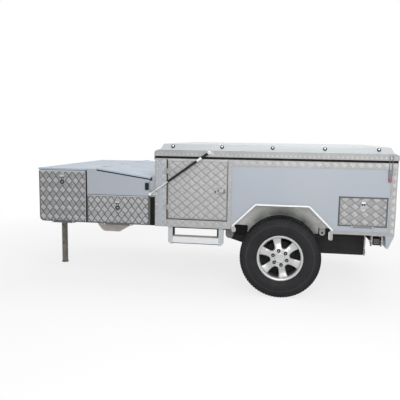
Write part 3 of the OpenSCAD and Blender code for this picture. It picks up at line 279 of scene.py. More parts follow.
def grid_faces(rows, columns, round_columns=False, round_rows=False):
    """Quads over a grid of points kept row by row, joined round where asked. They face along column x row."""
    i = np.arange(rows if round_rows else rows - 1)[:, None]
    j = np.arange(columns if round_columns else columns - 1)
    after_i, after_j = (i + 1) % rows, (j + 1) % columns
    corners = [i * columns + j, i * columns + after_j, after_i * columns + after_j, after_i * columns + j]
    return np.stack(corners, -1).reshape(-1, 4).tolist()


def loft(rings):
    """Skin over closed rings, anticlockwise about the way they follow, with a flat cap at each end."""
    rings = np.asarray(rings)
    rows, columns = rings.shape[:2]
    caps = [list(range(columns))[::-1], list(range((rows - 1) * columns, rows * columns))]
    return rings.reshape(-1, 3), grid_faces(rows, columns, round_columns=True) + caps


def axes(place):
    """A place's point and its directions along, upward and outward, as arrays."""
    origin, along, upward = (np.array(part, float) for part in place)
    return origin, along, upward, np.cross(along, upward)


def circles(profile, place, steps):
    """Rings of a profile's (radius, height) pairs, turned about the outward direction of a place."""
    origin, along, upward, outward = axes(place)
    angle = 2 * np.pi * np.arange(steps) / steps
    spoke = np.cos(angle)[:, None] * along + np.sin(angle)[:, None] * upward
    radius, height = np.array(profile).T
    return origin + radius[:, None, None] * spoke + height[:, None, None] * outward


def turned(profile, place, steps=32):
    """Turned piece with flat ends: the skin over a profile's circles, from the inner end outwards."""
    return loft(circles(profile, place, steps))


def turned_ring(profile, place, steps=96):
    """Turned ring: a profile that closes on itself, outwards along its large radius and back along its
    small one."""
    return circles(profile, place, steps).reshape(-1, 3), grid_faces(len(profile), steps, True, True)


def on_side(side, x, z, out):
    """Place on a side face: its point, and the directions to the right and up as seen from outside."""
    return (x, side * out, z), (-side, 0, 0), (0, 0, 1)


def axle_of(hand, side):
    """Place at the middle of a wheel, looking outwards."""
    low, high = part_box(f"tyre_{hand}")
    return on_side(side, axle_x, (low.z + high.z) / 2, abs(low.y + high.y) / 2)


sides = {"left": -1, "right": 1}
seat_r, flange_r, rim_half = 0.205, 0.2195, 0.114
barrel_r, hub_r, cap_r = 0.194, 0.094, 0.049
hub_face, spoke_face, nut_circle = 0.088, 0.090, 0.0699
liner_disc_r, liner_back, liner_front, liner_thick = 0.154, -0.074, 0.077, 0.003
# Profiles of (radius, height) about the axle, from the wheel's middle plane outwards
barrel_profile = [
    (flange_r, -rim_half), (flange_r, -rim_half + 0.006), (seat_r, -rim_half + 0.010),
    (seat_r, rim_half - 0.010), (flange_r - 0.003, rim_half - 0.006), (flange_r, rim_half - 0.003),
    (flange_r - 0.002, rim_half), (flange_r - 0.008, rim_half + 0.001), (barrel_r + 0.008, rim_half - 0.003),
    (barrel_r + 0.001, rim_half - 0.012), (barrel_r, rim_half - 0.030), (barrel_r - 0.004, 0.0),
    (barrel_r, -rim_half)]
hub_profile = [
    (hub_r - 0.004, 0.020), (hub_r, 0.026), (hub_r, hub_face - 0.010), (hub_r - 0.004, hub_face - 0.002),
    (hub_r - 0.012, hub_face), (cap_r + 0.004, hub_face - 0.002)]
cap_profile = [(cap_r + 0.002, hub_face - 0.004), (cap_r + 0.001, hub_face + 0.005),
               (cap_r - 0.003, hub_face + 0.010), (cap_r - 0.008, hub_face + 0.0115),
               (cap_r - 0.012, hub_face + 0.0105), (0.002, hub_face + 0.0110)]
liner_profile = [
    (barrel_r - 0.0042, liner_back), (barrel_r - 0.0042, 0.0), (barrel_r - 0.0008, liner_front),
    (barrel_r - 0.0024, liner_front), (barrel_r - 0.0060, 0.0),
    (barrel_r - 0.0060, liner_back + liner_thick), (liner_disc_r, liner_back + liner_thick),
    (liner_disc_r, liner_back)]
nut_well_profile = [(0.0175, -0.006), (0.0175, 0.0012), (0.0160, 0.0018), (0.0145, 0.0006), (0.002, 0.0006)]
nut_profile = [(0.0058, -0.004), (0.0058, 0.0095), (0.0045, 0.0125), (0.001, 0.0130)]
spoke_count, spoke_turn, spoke_rows, spoke_columns = 6, np.radians(41.0), 15, 24
spoke_from, spoke_to = hub_r - 0.014, barrel_r + 0.004
# Spoke: half width at the hub and its growth, flare and its reach at hub and rim, face's drop, dip and fall,
# depth at the hub and its loss, and how square its section is across and through
spoke_half, spoke_growth = 0.029, 0.012
hub_flare, hub_flare_reach, rim_flare, rim_flare_reach = 0.016, 0.10, 0.015, 0.09
face_drop, face_dip, face_fall = 0.002, 0.014, 0.008
spoke_depth, depth_loss = 0.034, 0.006
square_across, square_through = 0.45, 0.6


def spokes(place, turns):
    """Six spokes, each a rounded bar from the hub to the barrel: its half width grows outwards and flares at
    both ends, and its face dips a little between them."""
    origin, along, upward, outward = axes(place)
    share = np.linspace(0.0, 1.0, spoke_rows)
    reach = spoke_from + share * (spoke_to - spoke_from)
    flare = hub_flare * np.exp(-share / hub_flare_reach) + rim_flare * np.exp(-(1 - share) / rim_flare_reach)
    half_width = spoke_half + spoke_growth * share + flare
    face = spoke_face - face_drop - face_dip * np.sin(np.pi * share) ** 2 - face_fall * share
    half_depth = (spoke_depth - depth_loss * share) / 2
    angle = 2 * np.pi * np.arange(spoke_columns) / spoke_columns
    across = np.sign(np.cos(angle)) * np.abs(np.cos(angle)) ** square_across
    through = np.sign(np.sin(angle)) * np.abs(np.sin(angle)) ** square_through
    parts = []
    for turn in turns:
        radial = np.cos(turn) * along + np.sin(turn) * upward
        rings = (origin + reach[:, None, None] * radial
                 + half_width[:, None, None] * across[:, None] * np.cross(outward, radial)
                 + ((face - half_depth)[:, None] + half_depth[:, None] * through)[..., None] * outward)
        parts.append(loft(rings))
    return joined(parts)


def on_circle(profile, place, turns, radius, height, steps):
    """Turned pieces of one profile with the place's outward direction, set round a circle at a height."""
    origin, along, upward, outward = axes(place)
    spots = [origin + radius * (np.cos(turn) * along + np.sin(turn) * upward) + height * outward
             for turn in turns]
    return joined([turned(profile, (spot, along, upward), steps) for spot in spots])


alloy = coated("alloy", (0.55, 0.553, 0.555), (0.475, 0.478, 0.482), 0.36, cloud=8.0, peel=0.0002,
               metallic=0.5)
wheel_shade_black = coated("wheel_shade_black", (0.03, 0.03, 0.03), (0.06, 0.058, 0.055), 0.7, cloud=12.0)
nut_steel = coated("nut_steel", (0.60, 0.60, 0.61), (0.48, 0.48, 0.49), 0.3, cloud=30.0, metallic=0.5)
for hand, side in sides.items():
    axle, wheel = axle_of(hand, side), f"wheel_{hand}"
    turns = spoke_turn + 2 * np.pi * np.arange(spoke_count) / spoke_count
    turns = turns if side < 0 else np.pi - turns
    rim = piece(f"alloy_rim_{hand}", *joined([
        turned_ring(barrel_profile, axle), turned(hub_profile, axle, 64), turned(cap_profile, axle, 64),
        spokes(axle, turns)]), alloy, wheel, "alloy")
    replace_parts(rim, f"rim_{hand}")
    # Near-black liner and disc: painted shade inside the wheel
    piece(f"shade_liner_{hand}", *turned_ring(liner_profile, axle), wheel_shade_black, wheel, "black_steel")
    # Black wells round the nuts: painted shade in the nut holes
    wells = on_circle(nut_well_profile, axle, turns, nut_circle, hub_face, 24)
    piece(f"nut_wells_{hand}", *wells, enamel, wheel, "black_steel")
    nuts = on_circle(nut_profile, axle, turns, nut_circle, hub_face, 6)
    piece(f"wheel_nuts_{hand}", *nuts, nut_steel, wheel, "alloy")


# Tyres
# Off-road radials of soft dark rubber: moulded rings on the sidewalls, and tread blocks that run over the
# shoulder. One ring is paler rubber, a painted sheen along the sidewall. A tyre is one profile turned about
# the axle, its grooves sunk along its normal.
tread_pitches, pitch_samples, groove_depth = 84, 8, 0.0065
tyre_half, tyre_rise, bead_gap = 0.1325, 0.183, 0.0002
# Shares of the tyre's height or half width
bead_height, sidewall_top, shoulder_top, tread_edge, groove_foot = 0.012, 0.86, 0.985, 0.76, 0.83
bulge_height, bulge_loss, bulge_power, crown_drop = 0.55, 0.24, 2.2, 0.015
moulded_rings, ring_spread = ((0.17, 0.014), (0.33, 0.006), (0.71, 0.007)), 0.020


def tyre_profile():
    """Half widths and heights, as shares, from the inner bead over the tread to the outer bead. A sidewall
    bulges most at the bulge's height, an elliptical shoulder follows, then a tread with a slight crown."""
    height = np.linspace(bead_height, sidewall_top, 20)
    wide = 1 - bulge_loss * np.abs((height - bulge_height) / bulge_height) ** bulge_power
    for ring, proud in moulded_rings:
        wide = wide + proud * np.exp(-((height - ring) / ring_spread) ** 2)
    bend = np.linspace(0, np.pi / 2, 8)[1:]
    shoulder_wide = tread_edge + (wide[-1] - tread_edge) * np.cos(bend)
    shoulder_height = sidewall_top + (shoulder_top - sidewall_top) * np.sin(bend)
    crown_wide = np.linspace(tread_edge, -tread_edge, 29)[1:-1]
    crown_height = 1 - crown_drop * (crown_wide / tread_edge) ** 2
    wide = np.concatenate([wide, shoulder_wide, crown_wide, -shoulder_wide[::-1], -wide[::-1]])
    height = np.concatenate([height, shoulder_height, crown_height, shoulder_height[::-1], height[::-1]])
    return wide[::-1], height[::-1]


# Shares of the tread's half width for its lanes, and of a pitch for the cuts across them
tread_skew, zigzag, ring_lane, ring_groove_half = 0.9, 0.05, 0.34, 0.055
block_cut, rib_cut_share, rib_inner, rib_outer, rib_depth = 0.30, 0.2, 0.05, 0.24, 0.5


def tyre(place):
    """The profile turned round the axle. Two zigzag grooves run round the tread, skewed ones cross its blocks
    and open over the shoulder, and short cuts cross the middle rib."""
    wide, height = tyre_profile()
    radius, across = seat_r + bead_gap + height * (tyre_rise - bead_gap), wide * tyre_half
    normal = np.stack([np.gradient(across), -np.gradient(radius)])
    normal /= np.linalg.norm(normal, axis=0)
    count = tread_pitches * pitch_samples
    turn = np.arange(count) / count
    lane = wide[:, None] / tread_edge
    phase = tread_pitches * turn + tread_skew * np.sign(lane) * lane
    beat = phase % 1.0
    swing = zigzag * np.abs(2 * beat - 1)
    lane = np.abs(lane)
    ring_groove = np.abs(lane - ring_lane - swing) < ring_groove_half
    block_groove = (beat < block_cut) & (lane > ring_lane)
    rib_cut = ((phase + 0.5) % 1.0 < rib_cut_share) & (lane < rib_outer) & (lane > rib_inner)
    depth = groove_depth * (height[:, None] > groove_foot)
    depth = depth * np.clip(ring_groove + block_groove + rib_depth * rib_cut, 0, 1)
    radius = radius[:, None] - depth * normal[0][:, None]
    across = across[:, None] - depth * normal[1][:, None]
    origin, along, upward, outward = axes(place)
    spoke = np.cos(2 * np.pi * turn)[:, None] * along + np.sin(2 * np.pi * turn)[:, None] * upward
    points = origin + radius[..., None] * spoke + across[..., None] * outward
    return points.reshape(-1, 3), grid_faces(len(wide), count, round_columns=True, round_rows=True)


ring_r, ring_out, ring_half = seat_r + 0.63 * tyre_rise, tyre_half - 0.0006, 0.0060
ring_profile = [(ring_r + ring_half, ring_out - 0.005), (ring_r + ring_half, ring_out + 0.0008),
                (ring_r - ring_half, ring_out + 0.0012), (ring_r - ring_half, ring_out - 0.005)]
# Paler rubber on the raised ring: painted sheen
ring_sheen_rubber = coated("ring_sheen_rubber", (0.021, 0.021, 0.025), (0.032, 0.032, 0.037), 0.6, cloud=5.0, gloss=0.22)
tyre_rubber = coated("tyre_rubber", (0.010, 0.010, 0.0115), (0.018, 0.018, 0.020), 0.6, cloud=5.0,
                     peel=0.0004, gloss=0.22)
for hand, side in sides.items():
    axle, wheel = axle_of(hand, side), f"wheel_{hand}"
    piece(f"tyre_ring_{hand}", *turned_ring(ring_profile, axle), ring_sheen_rubber, wheel, "tyre")
    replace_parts(piece(f"radial_tyre_{hand}", *tyre(axle), tyre_rubber, wheel, "tyre"), f"tyre_{hand}")


# Jack
# Drawn steel tube with a cranked screw inside, its paint weathered to a brown grey with rust coming through.
# The leg carries a row of pin holes and stands on a plate foot.
weathered_tube = coated("weathered_tube", (0.15, 0.135, 0.115), (0.25, 0.225, 0.20), 0.55, cloud=14.0,
                        share=1.0, peel=0.0006, peel_scale=140.0, metallic=0.2)
dress(weathered_tube, "jack_sleeve", "jack_leg")


# Tanks
# The water tank is black moulded polyethylene, with a pale drain pipe and a plated tap at its rear left
# corner. The tank under the drawbar is natural polyethylene, a pale pinkish white, with a curved underside.
black_poly = coated("black_poly", (0.010, 0.010, 0.011), (0.018, 0.018, 0.018), 0.55, cloud=5.0, peel=0.0006,
                    peel_scale=160.0, gloss=0.25)
dress(black_poly, "water_tank", "side_vents", bevel=0.003)
natural_poly = coated("natural_poly", (0.66, 0.58, 0.54), (0.50, 0.44, 0.40), 0.5, cloud=7.0, peel=0.0006,
                      peel_scale=160.0)
pipe_poly = coated("pipe_poly", (0.62, 0.62, 0.63), (0.50, 0.50, 0.51), 0.5, cloud=20.0)
tap_metal = coated("tap_metal", (0.46, 0.46, 0.50), (0.16, 0.16, 0.18), 0.3, cloud=60.0, share=1.0,
                   metallic=0.5)
front_rise, rear_rise, rear_cut, end_round = 0.110, 0.095, 0.038, 0.014
# Share of the tank's height that its ends keep, and its points along
end_share, tank_steps = 0.06, 48


def hanging_tank(low, high):
    """Tank with a flat top, lofted from side to side: its underside falls along a quarter sine from the front
    end, runs level, and rises the same way to the rear end. Its side edges are rounded."""
    x = np.linspace(low.x, high.x - rear_cut, tank_steps)
    share = np.clip(np.minimum((x - x[0]) / front_rise, (x[-1] - x) / rear_rise), 0, 1)
    fall = (high.z - low.z) * (end_share + (1 - end_share) * np.sin(np.pi / 2 * share))
    ring = np.stack([np.append(x[[0, -1]], x[::-1]), np.append([0.0, 0.0], -fall[::-1])], -1)
    bend = np.linspace(0, np.pi / 2, 6)
    inset = end_round * (1 - np.append(np.sin(bend), np.sin(bend[::-1])))
    across = np.append(low.y + end_round * (1 - np.cos(bend)), high.y - end_round * (1 - np.cos(bend[::-1])))
    middle = (x[0] + x[-1]) / 2
    size = np.array([(x[-1] - x[0]) / 2, high.z - low.z])
    rings = (ring - [middle, 0.0]) * (1 - inset[:, None] / size)[:, None] + [middle, high.z]
    return loft(np.insert(rings, 1, across[:, None], axis=2))


tank_low, tank_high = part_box("water_tank")
pipe_r, pipe_lap, tap_height, drain_proud, drain_back = 0.0070, 0.008, 0.060, 0.0035, 0.001
drain_foot = np.array([tank_high.x + drain_back, tank_low.y - drain_proud, tank_low.z])
drain_place = drain_foot, (1, 0, 0), (0, 1, 0)
pipe_profile = [(pipe_r, tap_height - pipe_lap), (pipe_r, tank_high.z - tank_low.z - 0.002)]
tap_profile = [(0.006, -0.004), (0.009, -0.002), (0.009, 0.018), (0.0125, 0.020), (0.0125, 0.034),
               (0.009, 0.036), (0.009, tap_height - 0.002), (0.006, tap_height)]
piece("drain_pipe", *turned(pipe_profile, drain_place, 16), pipe_poly, "chassis", "pale_skin")
piece("drain_tap", *turned(tap_profile, drain_place, 20), tap_metal, "chassis", "bright_steel")
drawbar_tank = piece("drawbar_tank", *hanging_tank(*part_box("front_tank")), natural_poly, "chassis",
                     "pale_skin")
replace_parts(drawbar_tank, "front_tank")


# Body floor and boarding
# Sealed plywood: the load floor, and the underside of the lid, which is the floor of the folded-out half.
# The grain runs along the trailer, in bands of early and late wood.
band_scale, patch_scale, ply_rough_scale, wood_grain = 22.0, 2.0, 60.0, 0.0004
along_grain = (0.06, 1.0, 1.0)


def board(name, pale, dark):
    """Ply face: bands stretched along X, blended from a pale to a dark wood tone."""
    material, tree, shader, where = shader_of(name)
    bands = mottle(tree, where, band_scale, 0.0, 1.0, stretch=along_grain, detail=8.0)
    patches = mottle(tree, where, patch_scale, 0.0, 0.35)
    wire(tree, shader, {
        "Base Color": blend_tones(tree, patches, blend_tones(tree, bands, pale, dark), dark),
        "Roughness": mottle(tree, where, ply_rough_scale, 0.45, 0.6)})
    grain(tree, shader, bands, wood_grain)
    return material


ply_face = board("ply_face", (0.52, 0.35, 0.18), (0.36, 0.22, 0.10))
dress(ply_face, "floor", "lid_board")


# Painted panels
# Folded sheet in a semi-gloss pale blue-grey enamel: the body's sides, the boxes, the step and the valance.
# It is clean, with faint clouding and a fine orange peel.
sheet_bevel = 0.0015


def enamelled(name, tone, chalky, roughness):
    """Smooth sheet enamel: broad faint clouds from the tone to a chalkier one, under a thin clear gloss."""
    material = coated(name, tone, chalky, roughness, cloud=1.6, share=0.7, peel=0.00012, peel_scale=420.0)
    tree = material.node_tree
    wire(tree, tree.nodes["Principled BSDF"], {"Coat Weight": 0.25, "Coat Roughness": 0.25})
    return material


grey_enamel = enamelled("grey_enamel", (0.352, 0.384, 0.434), (0.380, 0.406, 0.448), 0.42)
dress(grey_enamel, "side_panels", "locker_box", "rear_valance", bevel=sheet_bevel)
top_enamel = enamelled("top_enamel", (0.35, 0.425, 0.515), (0.385, 0.45, 0.53), 0.42)
dress(top_enamel, "front_box", "locker_lid", bevel=sheet_bevel)
step_enamel = enamelled("step_enamel", (0.49, 0.51, 0.53), (0.40, 0.415, 0.43), 0.45)
dress(step_enamel, "step_posts", bevel=sheet_bevel)
tread_enamel = enamelled("tread_enamel", (0.72, 0.73, 0.75), (0.62, 0.63, 0.65), 0.45)
dress(tread_enamel, "step_treads", bevel=sheet_bevel)


# Tread plate
# Five-bar aluminium plate, dulled by weather: bars stand in lozenges of five, turned the other way in each
# next lozenge. The set that would catch the light is painted brighter and the other darker: painted light
# and shade on the bars, which stand on a darker sheet.
plate_metallic, grime_scale, rub_scale, sheet_wear = 0.3, 7.0, 45.0, 0.8


def tread_metal(name, dull, painted_lit, grime):
    """Bars of tread plate: painted shaded or painted lit by each bar's tone, rubbed in clouds, with grime in
    places.
    """
    material, tree, shader, where = shader_of(name, plate_metallic)
    tone = node(tree, "ShaderNodeAttribute", {}, "Fac", attribute_name="tone")
    barred = blend_tones(tree, tone, dull, painted_lit)
    wire(tree, shader, {
        "Base Color": blend_tones(tree, mottle(tree, where, grime_scale, 0.0, 0.35), barred, grime),
        "Roughness": mottle(tree, where, rub_scale, 0.36, 0.52)})
    return material


def tread_sheet(name, tone):
    """Sheet between the bars: one grey tone, worn darker in clouds."""
    worn = tuple(sheet_wear * part for part in tone)
    return coated(name, tone, worn, 0.5, cloud=9.0, peel=0.0003, peel_scale=260.0, metallic=plate_metallic)


door_sheet = tread_sheet("door_sheet", (0.278, 0.274, 0.271))
frame_sheet = tread_sheet("frame_sheet", (0.37, 0.37, 0.37))
hatch_sheet = tread_sheet("hatch_sheet", (0.22, 0.218, 0.215))
# The boxes' drop doors get the darkest sheet: partly road grime, partly painted shade where the light falls
# off towards the front
grime_and_shade_sheet = tread_sheet("grime_and_shade_sheet", (0.122, 0.125, 0.131))
# Bar colours: painted shade and painted light for the two bar directions, then grime
bar_metal = tread_metal("bar_metal", (0.27, 0.272, 0.28), (0.50, 0.502, 0.508), (0.30, 0.30, 0.305))
dress(frame_sheet, "front_wall", "rear_wall", "side_frames", "lid_frame")
dress(door_sheet, "side_doors")
dress(hatch_sheet, "hatch_left", "hatch_right")
dress(grime_and_shade_sheet, "front_door_left", "front_door_right", "locker_door_left", "locker_door_right")

bars_in_lozenge, bar_height = 5, 0.0016
# Shares: of a lozenge's edge that the five bars spread over, and of their spacing that is bar
bar_spread, bar_cover = 0.88, 0.86
# Of the lozenges painted shaded and painted lit: share of the edge that a bar is long, and how far their ends
# are cut square
bar_share, bar_square = np.array([0.95, 0.86]), np.array([0.0, 0.5])
# Shares of a bar's width: how long its point is, and how wide its top
point_share, top_share = 0.7, 0.5
bar_faces = [[i, (i + 1) % 6, 6 + (i + 1) % 6, 6 + i] for i in range(6)]
bar_faces += [[5, 4, 3, 2, 1, 0], [6, 7, 8, 9, 10, 11]]


def repeated(count, size, faces):
    """Faces of one part of size points, repeated for count copies that follow each other."""
    copies = []
    for face in faces:
        copies += (np.array(face) + size * np.arange(count)[:, None]).tolist()
    return copies


def five_bar(wall, pitch, tones, kept=None):
    """Five-bar tread on a wall: a lower corner, two directions and two sizes.

    Lozenges lie on a staggered grid of the pitch. Each holds five bars parallel to one of its edges, in the
    next column to the other edge. A bar's middle line is cut at the wall's edges, and short ends are left
    out. Each bar is a six-sided lens: a pointed outline at the sheet and a smaller one at its height.
    Returns the bars' points, faces and tones, which go by the two tones of the columns painted shaded and
    lit."""
    corner, along, upward, width, height = wall
    pitch = np.array(pitch)
    counts = 2 * np.array([width, height]) / pitch + 2
    columns, rows = np.meshgrid(*(np.arange(-1, count) for count in counts))
    on_grid = (columns + rows) % 2 == 0
    columns, rows = columns[on_grid], rows[on_grid]
    # Columns painted lit (one) and painted shaded (nought); the lit set's bars also lean the other way
    painted_lit = (columns % 2).astype(int)
    lean = 2.0 * painted_lit - 1.0
    middle = np.stack([columns, rows], -1) * pitch / 2
    edge = np.stack([np.full_like(lean, pitch[0] / 2), lean * pitch[1] / 2], -1)
    length = np.hypot(*pitch) / 2
    heading = edge / length
    across_edge = edge * [1, -1]
    across_edge -= (bar_square[painted_lit] * (across_edge * heading).sum(1))[:, None] * heading
    step = bar_spread * (np.arange(bars_in_lozenge) - (bars_in_lozenge - 1) / 2) / bars_in_lozenge
    start = (middle[:, None] + across_edge[:, None] * step[:, None]).reshape(-1, 2)
    heading = np.repeat(heading, bars_in_lozenge, axis=0)
    tone = np.repeat(np.array(tones)[painted_lit], bars_in_lozenge)
    half = np.repeat(bar_share[painted_lit] * length / 2, bars_in_lozenge)
    wide = bar_cover * bar_spread * pitch[0] * pitch[1] / (2 * length * bars_in_lozenge)
    low = (wide / 2 - start) / heading
    high = (np.array([width, height]) - wide / 2 - start) / heading
    first = np.maximum(np.minimum(low, high).max(1), -half)
    last = np.minimum(np.maximum(low, high).min(1), half)
    start, half = start + heading * ((first + last) / 2)[:, None], (last - first) / 2
    fits = half > wide
    if kept is not None:
        for end in (-1, 1):
            fits &= kept(*(start + end * heading * half[:, None]).T)
    start, heading, half, tone = start[fits], heading[fits], half[fits], tone[fits]
    across = np.stack([-heading[:, 1], heading[:, 0]], -1)
    tip = point_share * wide
    lengthwise = np.array([-1, -1, 1, 1, 1, -1])[:, None] * half
    lengthwise += np.array([0, tip, -tip, 0, -tip, tip])[:, None]
    sideways = np.array([0, -1, -1, 0, 1, 1])[:, None] * wide / 2
    base = start + lengthwise[..., None] * heading + sideways[..., None] * across
    lengthwise, sideways = lengthwise * (1 - tip / half), top_share * sideways
    top = start + lengthwise[..., None] * heading + sideways[..., None] * across
    flat = np.concatenate([base, top]).transpose(1, 0, 2)
    rise = np.repeat([0.0, bar_height], 6)
    along, upward = np.array(along, float), np.array(upward, float)
    points = (np.array(corner) + flat[..., :1] * along + flat[..., 1:] * upward
              + rise[None, :, None] * np.cross(along, upward))
    return points.reshape(-1, 3), repeated(len(points), 12, bar_faces), np.tile(tone, len(bar_faces))


def tread_panels(name, body, panels):
    """One piece of bars for several panels on the same body, each a five_bar call's values."""
    made = [five_bar(*panel) for panel in panels]
    bars = piece(name, *joined([part[:2] for part in made]), bar_metal, body, "tread_plate")
    tone = bars.data.attributes.new("tone", "FLOAT", "FACE")
    tone.data.foreach_set("value", np.concatenate([tones for _, _, tones in made]).astype(np.float32))


edge_rim = 0.004


def side_wall(side, x0, x1, z0, z1, out):
    """Lower corner, two directions and two sizes of a rectangle on a side face, seen from outside, inside a
    plain rim along its edges."""
    x0, x1, z0, z1 = x0 + edge_rim, x1 - edge_rim, z0 + edge_rim, z1 - edge_rim
    return (x0 if side < 0 else x1, side * out, z0), (-side, 0, 0), (0, 0, 1), x1 - x0, z1 - z0


def end_wall(end, half, z0, z1, x):
    """The same on a face that looks forward (end -1) or to the rear (end 1), of a half width, with its rim
    along its sides and its top."""
    half = half - edge_rim
    return (x, -end * half, z0), (0, end, 0), (0, 0, 1), 2 * half, z1 - edge_rim - z0


# Tones of each wall's columns painted shaded and painted lit, as shares between the two bar colours
frame_pitch, frame_tones = (0.075, 0.070), (0.48, 0.86)
door_pitch, door_tones = (0.093, 0.078), (0.44, 0.86)
front_post, mid_gap, arch_reach = 0.120, 0.004, 0.464
frame_low, frame_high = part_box("side_frames")
door_low, door_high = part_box("side_doors")
panel_low, panel_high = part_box("side_panels")
body_side, body_front, body_rear = frame_high.y, frame_low.x, frame_high.x
body_base, body_top = frame_low.z, frame_high.z
door_front = body_front + front_post + mid_gap
sill_end = axle_x - arch_reach
# Bands of the side frames, as (x0, x1, z0, z1): front post, sill, rear door post, upper rail and rear post
frame_bands = [
    (body_front, door_front - mid_gap, body_base, body_top),
    (door_front - mid_gap, sill_end, body_base, door_low.z),
    (door_high.x + mid_gap, panel_low.x, door_low.z, body_top),
    (panel_low.x, body_rear, panel_high.z, body_top),
    (panel_high.x, body_rear, body_base, panel_high.z)]
for hand, side in sides.items():
    tread_panels(f"tread_frame_{hand}", "chassis", [
        (side_wall(side, *band, body_side), frame_pitch, frame_tones) for band in frame_bands])
    door_wall = side_wall(side, door_front, door_high.x, door_low.z, door_high.z, body_side)
    tread_panels(f"tread_side_door_{hand}", "chassis", [(door_wall, door_pitch, door_tones)])
wall_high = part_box("locker_lid")[0].z
tread_panels("tread_end_walls", "chassis", [
    (end_wall(-1, body_side, wall_high, body_top, body_front), door_pitch, door_tones),
    (end_wall(1, body_side, body_base + edge_rim, body_top, body_rear), door_pitch, door_tones)])


# Front post strips
# A smooth folded strip of painted sheet covers the joint of the tread plate on each front post.
# It is riveted down the middle, and more rivets hold the rear door post and the trim under the rear panel.
def rounded(width, height, radius, steps=6):
    """Outline of a rectangle with round corners, anticlockwise about its middle."""
    corner = np.array([[1, 1], [-1, 1], [-1, -1], [1, -1]]) * [width / 2 - radius, height / 2 - radius]
    angle = np.linspace(0, np.pi / 2, steps) + np.arange(4)[:, None] * np.pi / 2
    return (corner[:, None] + radius * np.stack([np.cos(angle), np.sin(angle)], -1)).reshape(-1, 2)


def plate(place, width, height, radius, thickness, edge=0.0015, start=0.0):
    """Plate with round corners on a place, from a start height to its thickness, its outer edge broken."""
    origin, along, upward, outward = axes(place)
    full = rounded(width, height, radius)
    outlines = [full, full, rounded(width - 2 * edge, height - 2 * edge, max(radius - edge, 0.0002))]
    levels = [start, thickness - edge, thickness]
    return loft([origin + outline[:, :1] * along + outline[:, 1:] * upward + level * outward
                 for outline, level in zip(outlines, levels)])


def side_plate(side, x0, x1, z0, z1, out, *finish):
    """Plate over a rectangle on a side face. The finish is a plate's radius, thickness, edge and start."""
    return plate(on_side(side, (x0 + x1) / 2, (z0 + z1) / 2, out), x1 - x0, z1 - z0, *finish)


def domes(places, radius):
    """Shallow domed rivet heads of a radius, one on each place."""
    profile = radius * np.array([(1.0, 0.0), (0.92, 0.25), (0.62, 0.5), (0.05, 0.62)])
    return joined([turned(profile, spot, 12) for spot in places])


strip_x, strip_half, strip_round, strip_thick = body_front + 0.053, 0.021, 0.004, 0.004
strip_low, strip_high = body_base + 0.021, body_top - 0.055
rivet_r, row_rivets, trim_rivets, row_end, post_foot = 0.0045, 7, 6, 0.03, 0.02
post_rivet_x, trim_rivet_z, trim_front = panel_low.x - 0.019, body_base + 0.015, axle_x + 0.50
rivet_metal = coated("rivet_metal", (0.40, 0.41, 0.42), (0.30, 0.31, 0.32), 0.4, cloud=40.0, metallic=0.5)
for hand, side in sides.items():
    strip = side_plate(side, strip_x - strip_half, strip_x + strip_half, strip_low, strip_high, body_side,
                       strip_round, strip_thick)
    piece(f"post_strip_{hand}", *strip, grey_enamel, "chassis", "paint")
    heads = [on_side(side, strip_x, z, body_side + strip_thick)
             for z in np.linspace(strip_low + row_end, strip_high - row_end, row_rivets)]
    heads += [on_side(side, post_rivet_x, z, body_side + bar_height)
              for z in np.linspace(door_low.z + post_foot, body_top - row_end, row_rivets)]
    heads += [on_side(side, x, trim_rivet_z, body_side)
              for x in np.linspace(trim_front, body_rear - row_end, trim_rivets)]
    piece(f"rivets_{hand}", *domes(heads, rivet_r), rivet_metal, "chassis", "alloy")


# Wheel arches
# Bent galvanised sheet over each wheel, paler than the other zinc as painted light on the arch's inside, and
# darker above the tyre with thrown dirt and painted shade. A white folded edge along its bends is a painted
# highlight, and a round-ended tab stands at each foot. The edge stands a little proud of the painted side.
dirt_shade_scale = 9.0


def dirt_and_shade_over_tyre(material, tone, near, far):
    """Thrown dirt and painted shade above the tyre: a dark tone over a material's colour, full at one
    distance from the axle's line, nought at another, and broken up by clouds."""
    tree, shader = material.node_tree, material.node_tree.nodes["Principled BSDF"]
    where = node(tree, "ShaderNodeTexCoord", {}, "Object")
    flat = node(tree, "ShaderNodeMapping", {
        "Vector": where, "Location": (-axle_x, 0.0, -axle_z), "Scale": (1.0, 0.0, 1.0)})
    reach = node(tree, "ShaderNodeVectorMath", {0: flat}, "Value", operation="LENGTH")
    share = node(tree, "ShaderNodeMath", {
        0: spread_of(tree, reach, 1.0, 0.0, near, far), 1: mottle(tree, where, dirt_shade_scale, 0.55, 1.0)},
        operation="MULTIPLY")
    clean = shader.inputs["Base Color"].links[0].from_socket
    wire(tree, shader, {"Base Color": blend_tones(tree, share, clean, tone)})


def edge_strip(side, line, width, low, high):
    """Flat strip along a bent line of (x, z) points on a side face: a width to the right of the way it runs,
    mitred at its bends, between two distances out from the trailer's middle plane."""
    line = np.array(line)
    run = np.diff(line, axis=0)
    right_of = np.stack([run[:, 1], -run[:, 0]], -1) / np.linalg.norm(run, axis=1, keepdims=True)
    before, after = np.vstack([right_of[:1], right_of]), np.vstack([right_of, right_of[-1:]])
    inner = line + width * (before + after) / (1 + (before * after).sum(1, keepdims=True))
    rings = np.stack([np.insert(edge, 1, side * out, axis=1)
                      for edge, out in ((line, low), (line, high), (inner, high), (inner, low))], 1)
    return loft(rings if side < 0 else rings[:, ::-1])


zinc_sheet = zinc_coat("zinc_sheet", (0.60, 0.61, 0.60), (0.50, 0.51, 0.49), (0.32, 0.33, 0.30))
dress(zinc_sheet, "strut_brackets", "lid_fittings", "tie_down_lugs", "leg_brackets")
arch_zinc = zinc_coat("arch_zinc", (0.82, 0.83, 0.81), (0.72, 0.73, 0.71), (0.52, 0.53, 0.50))
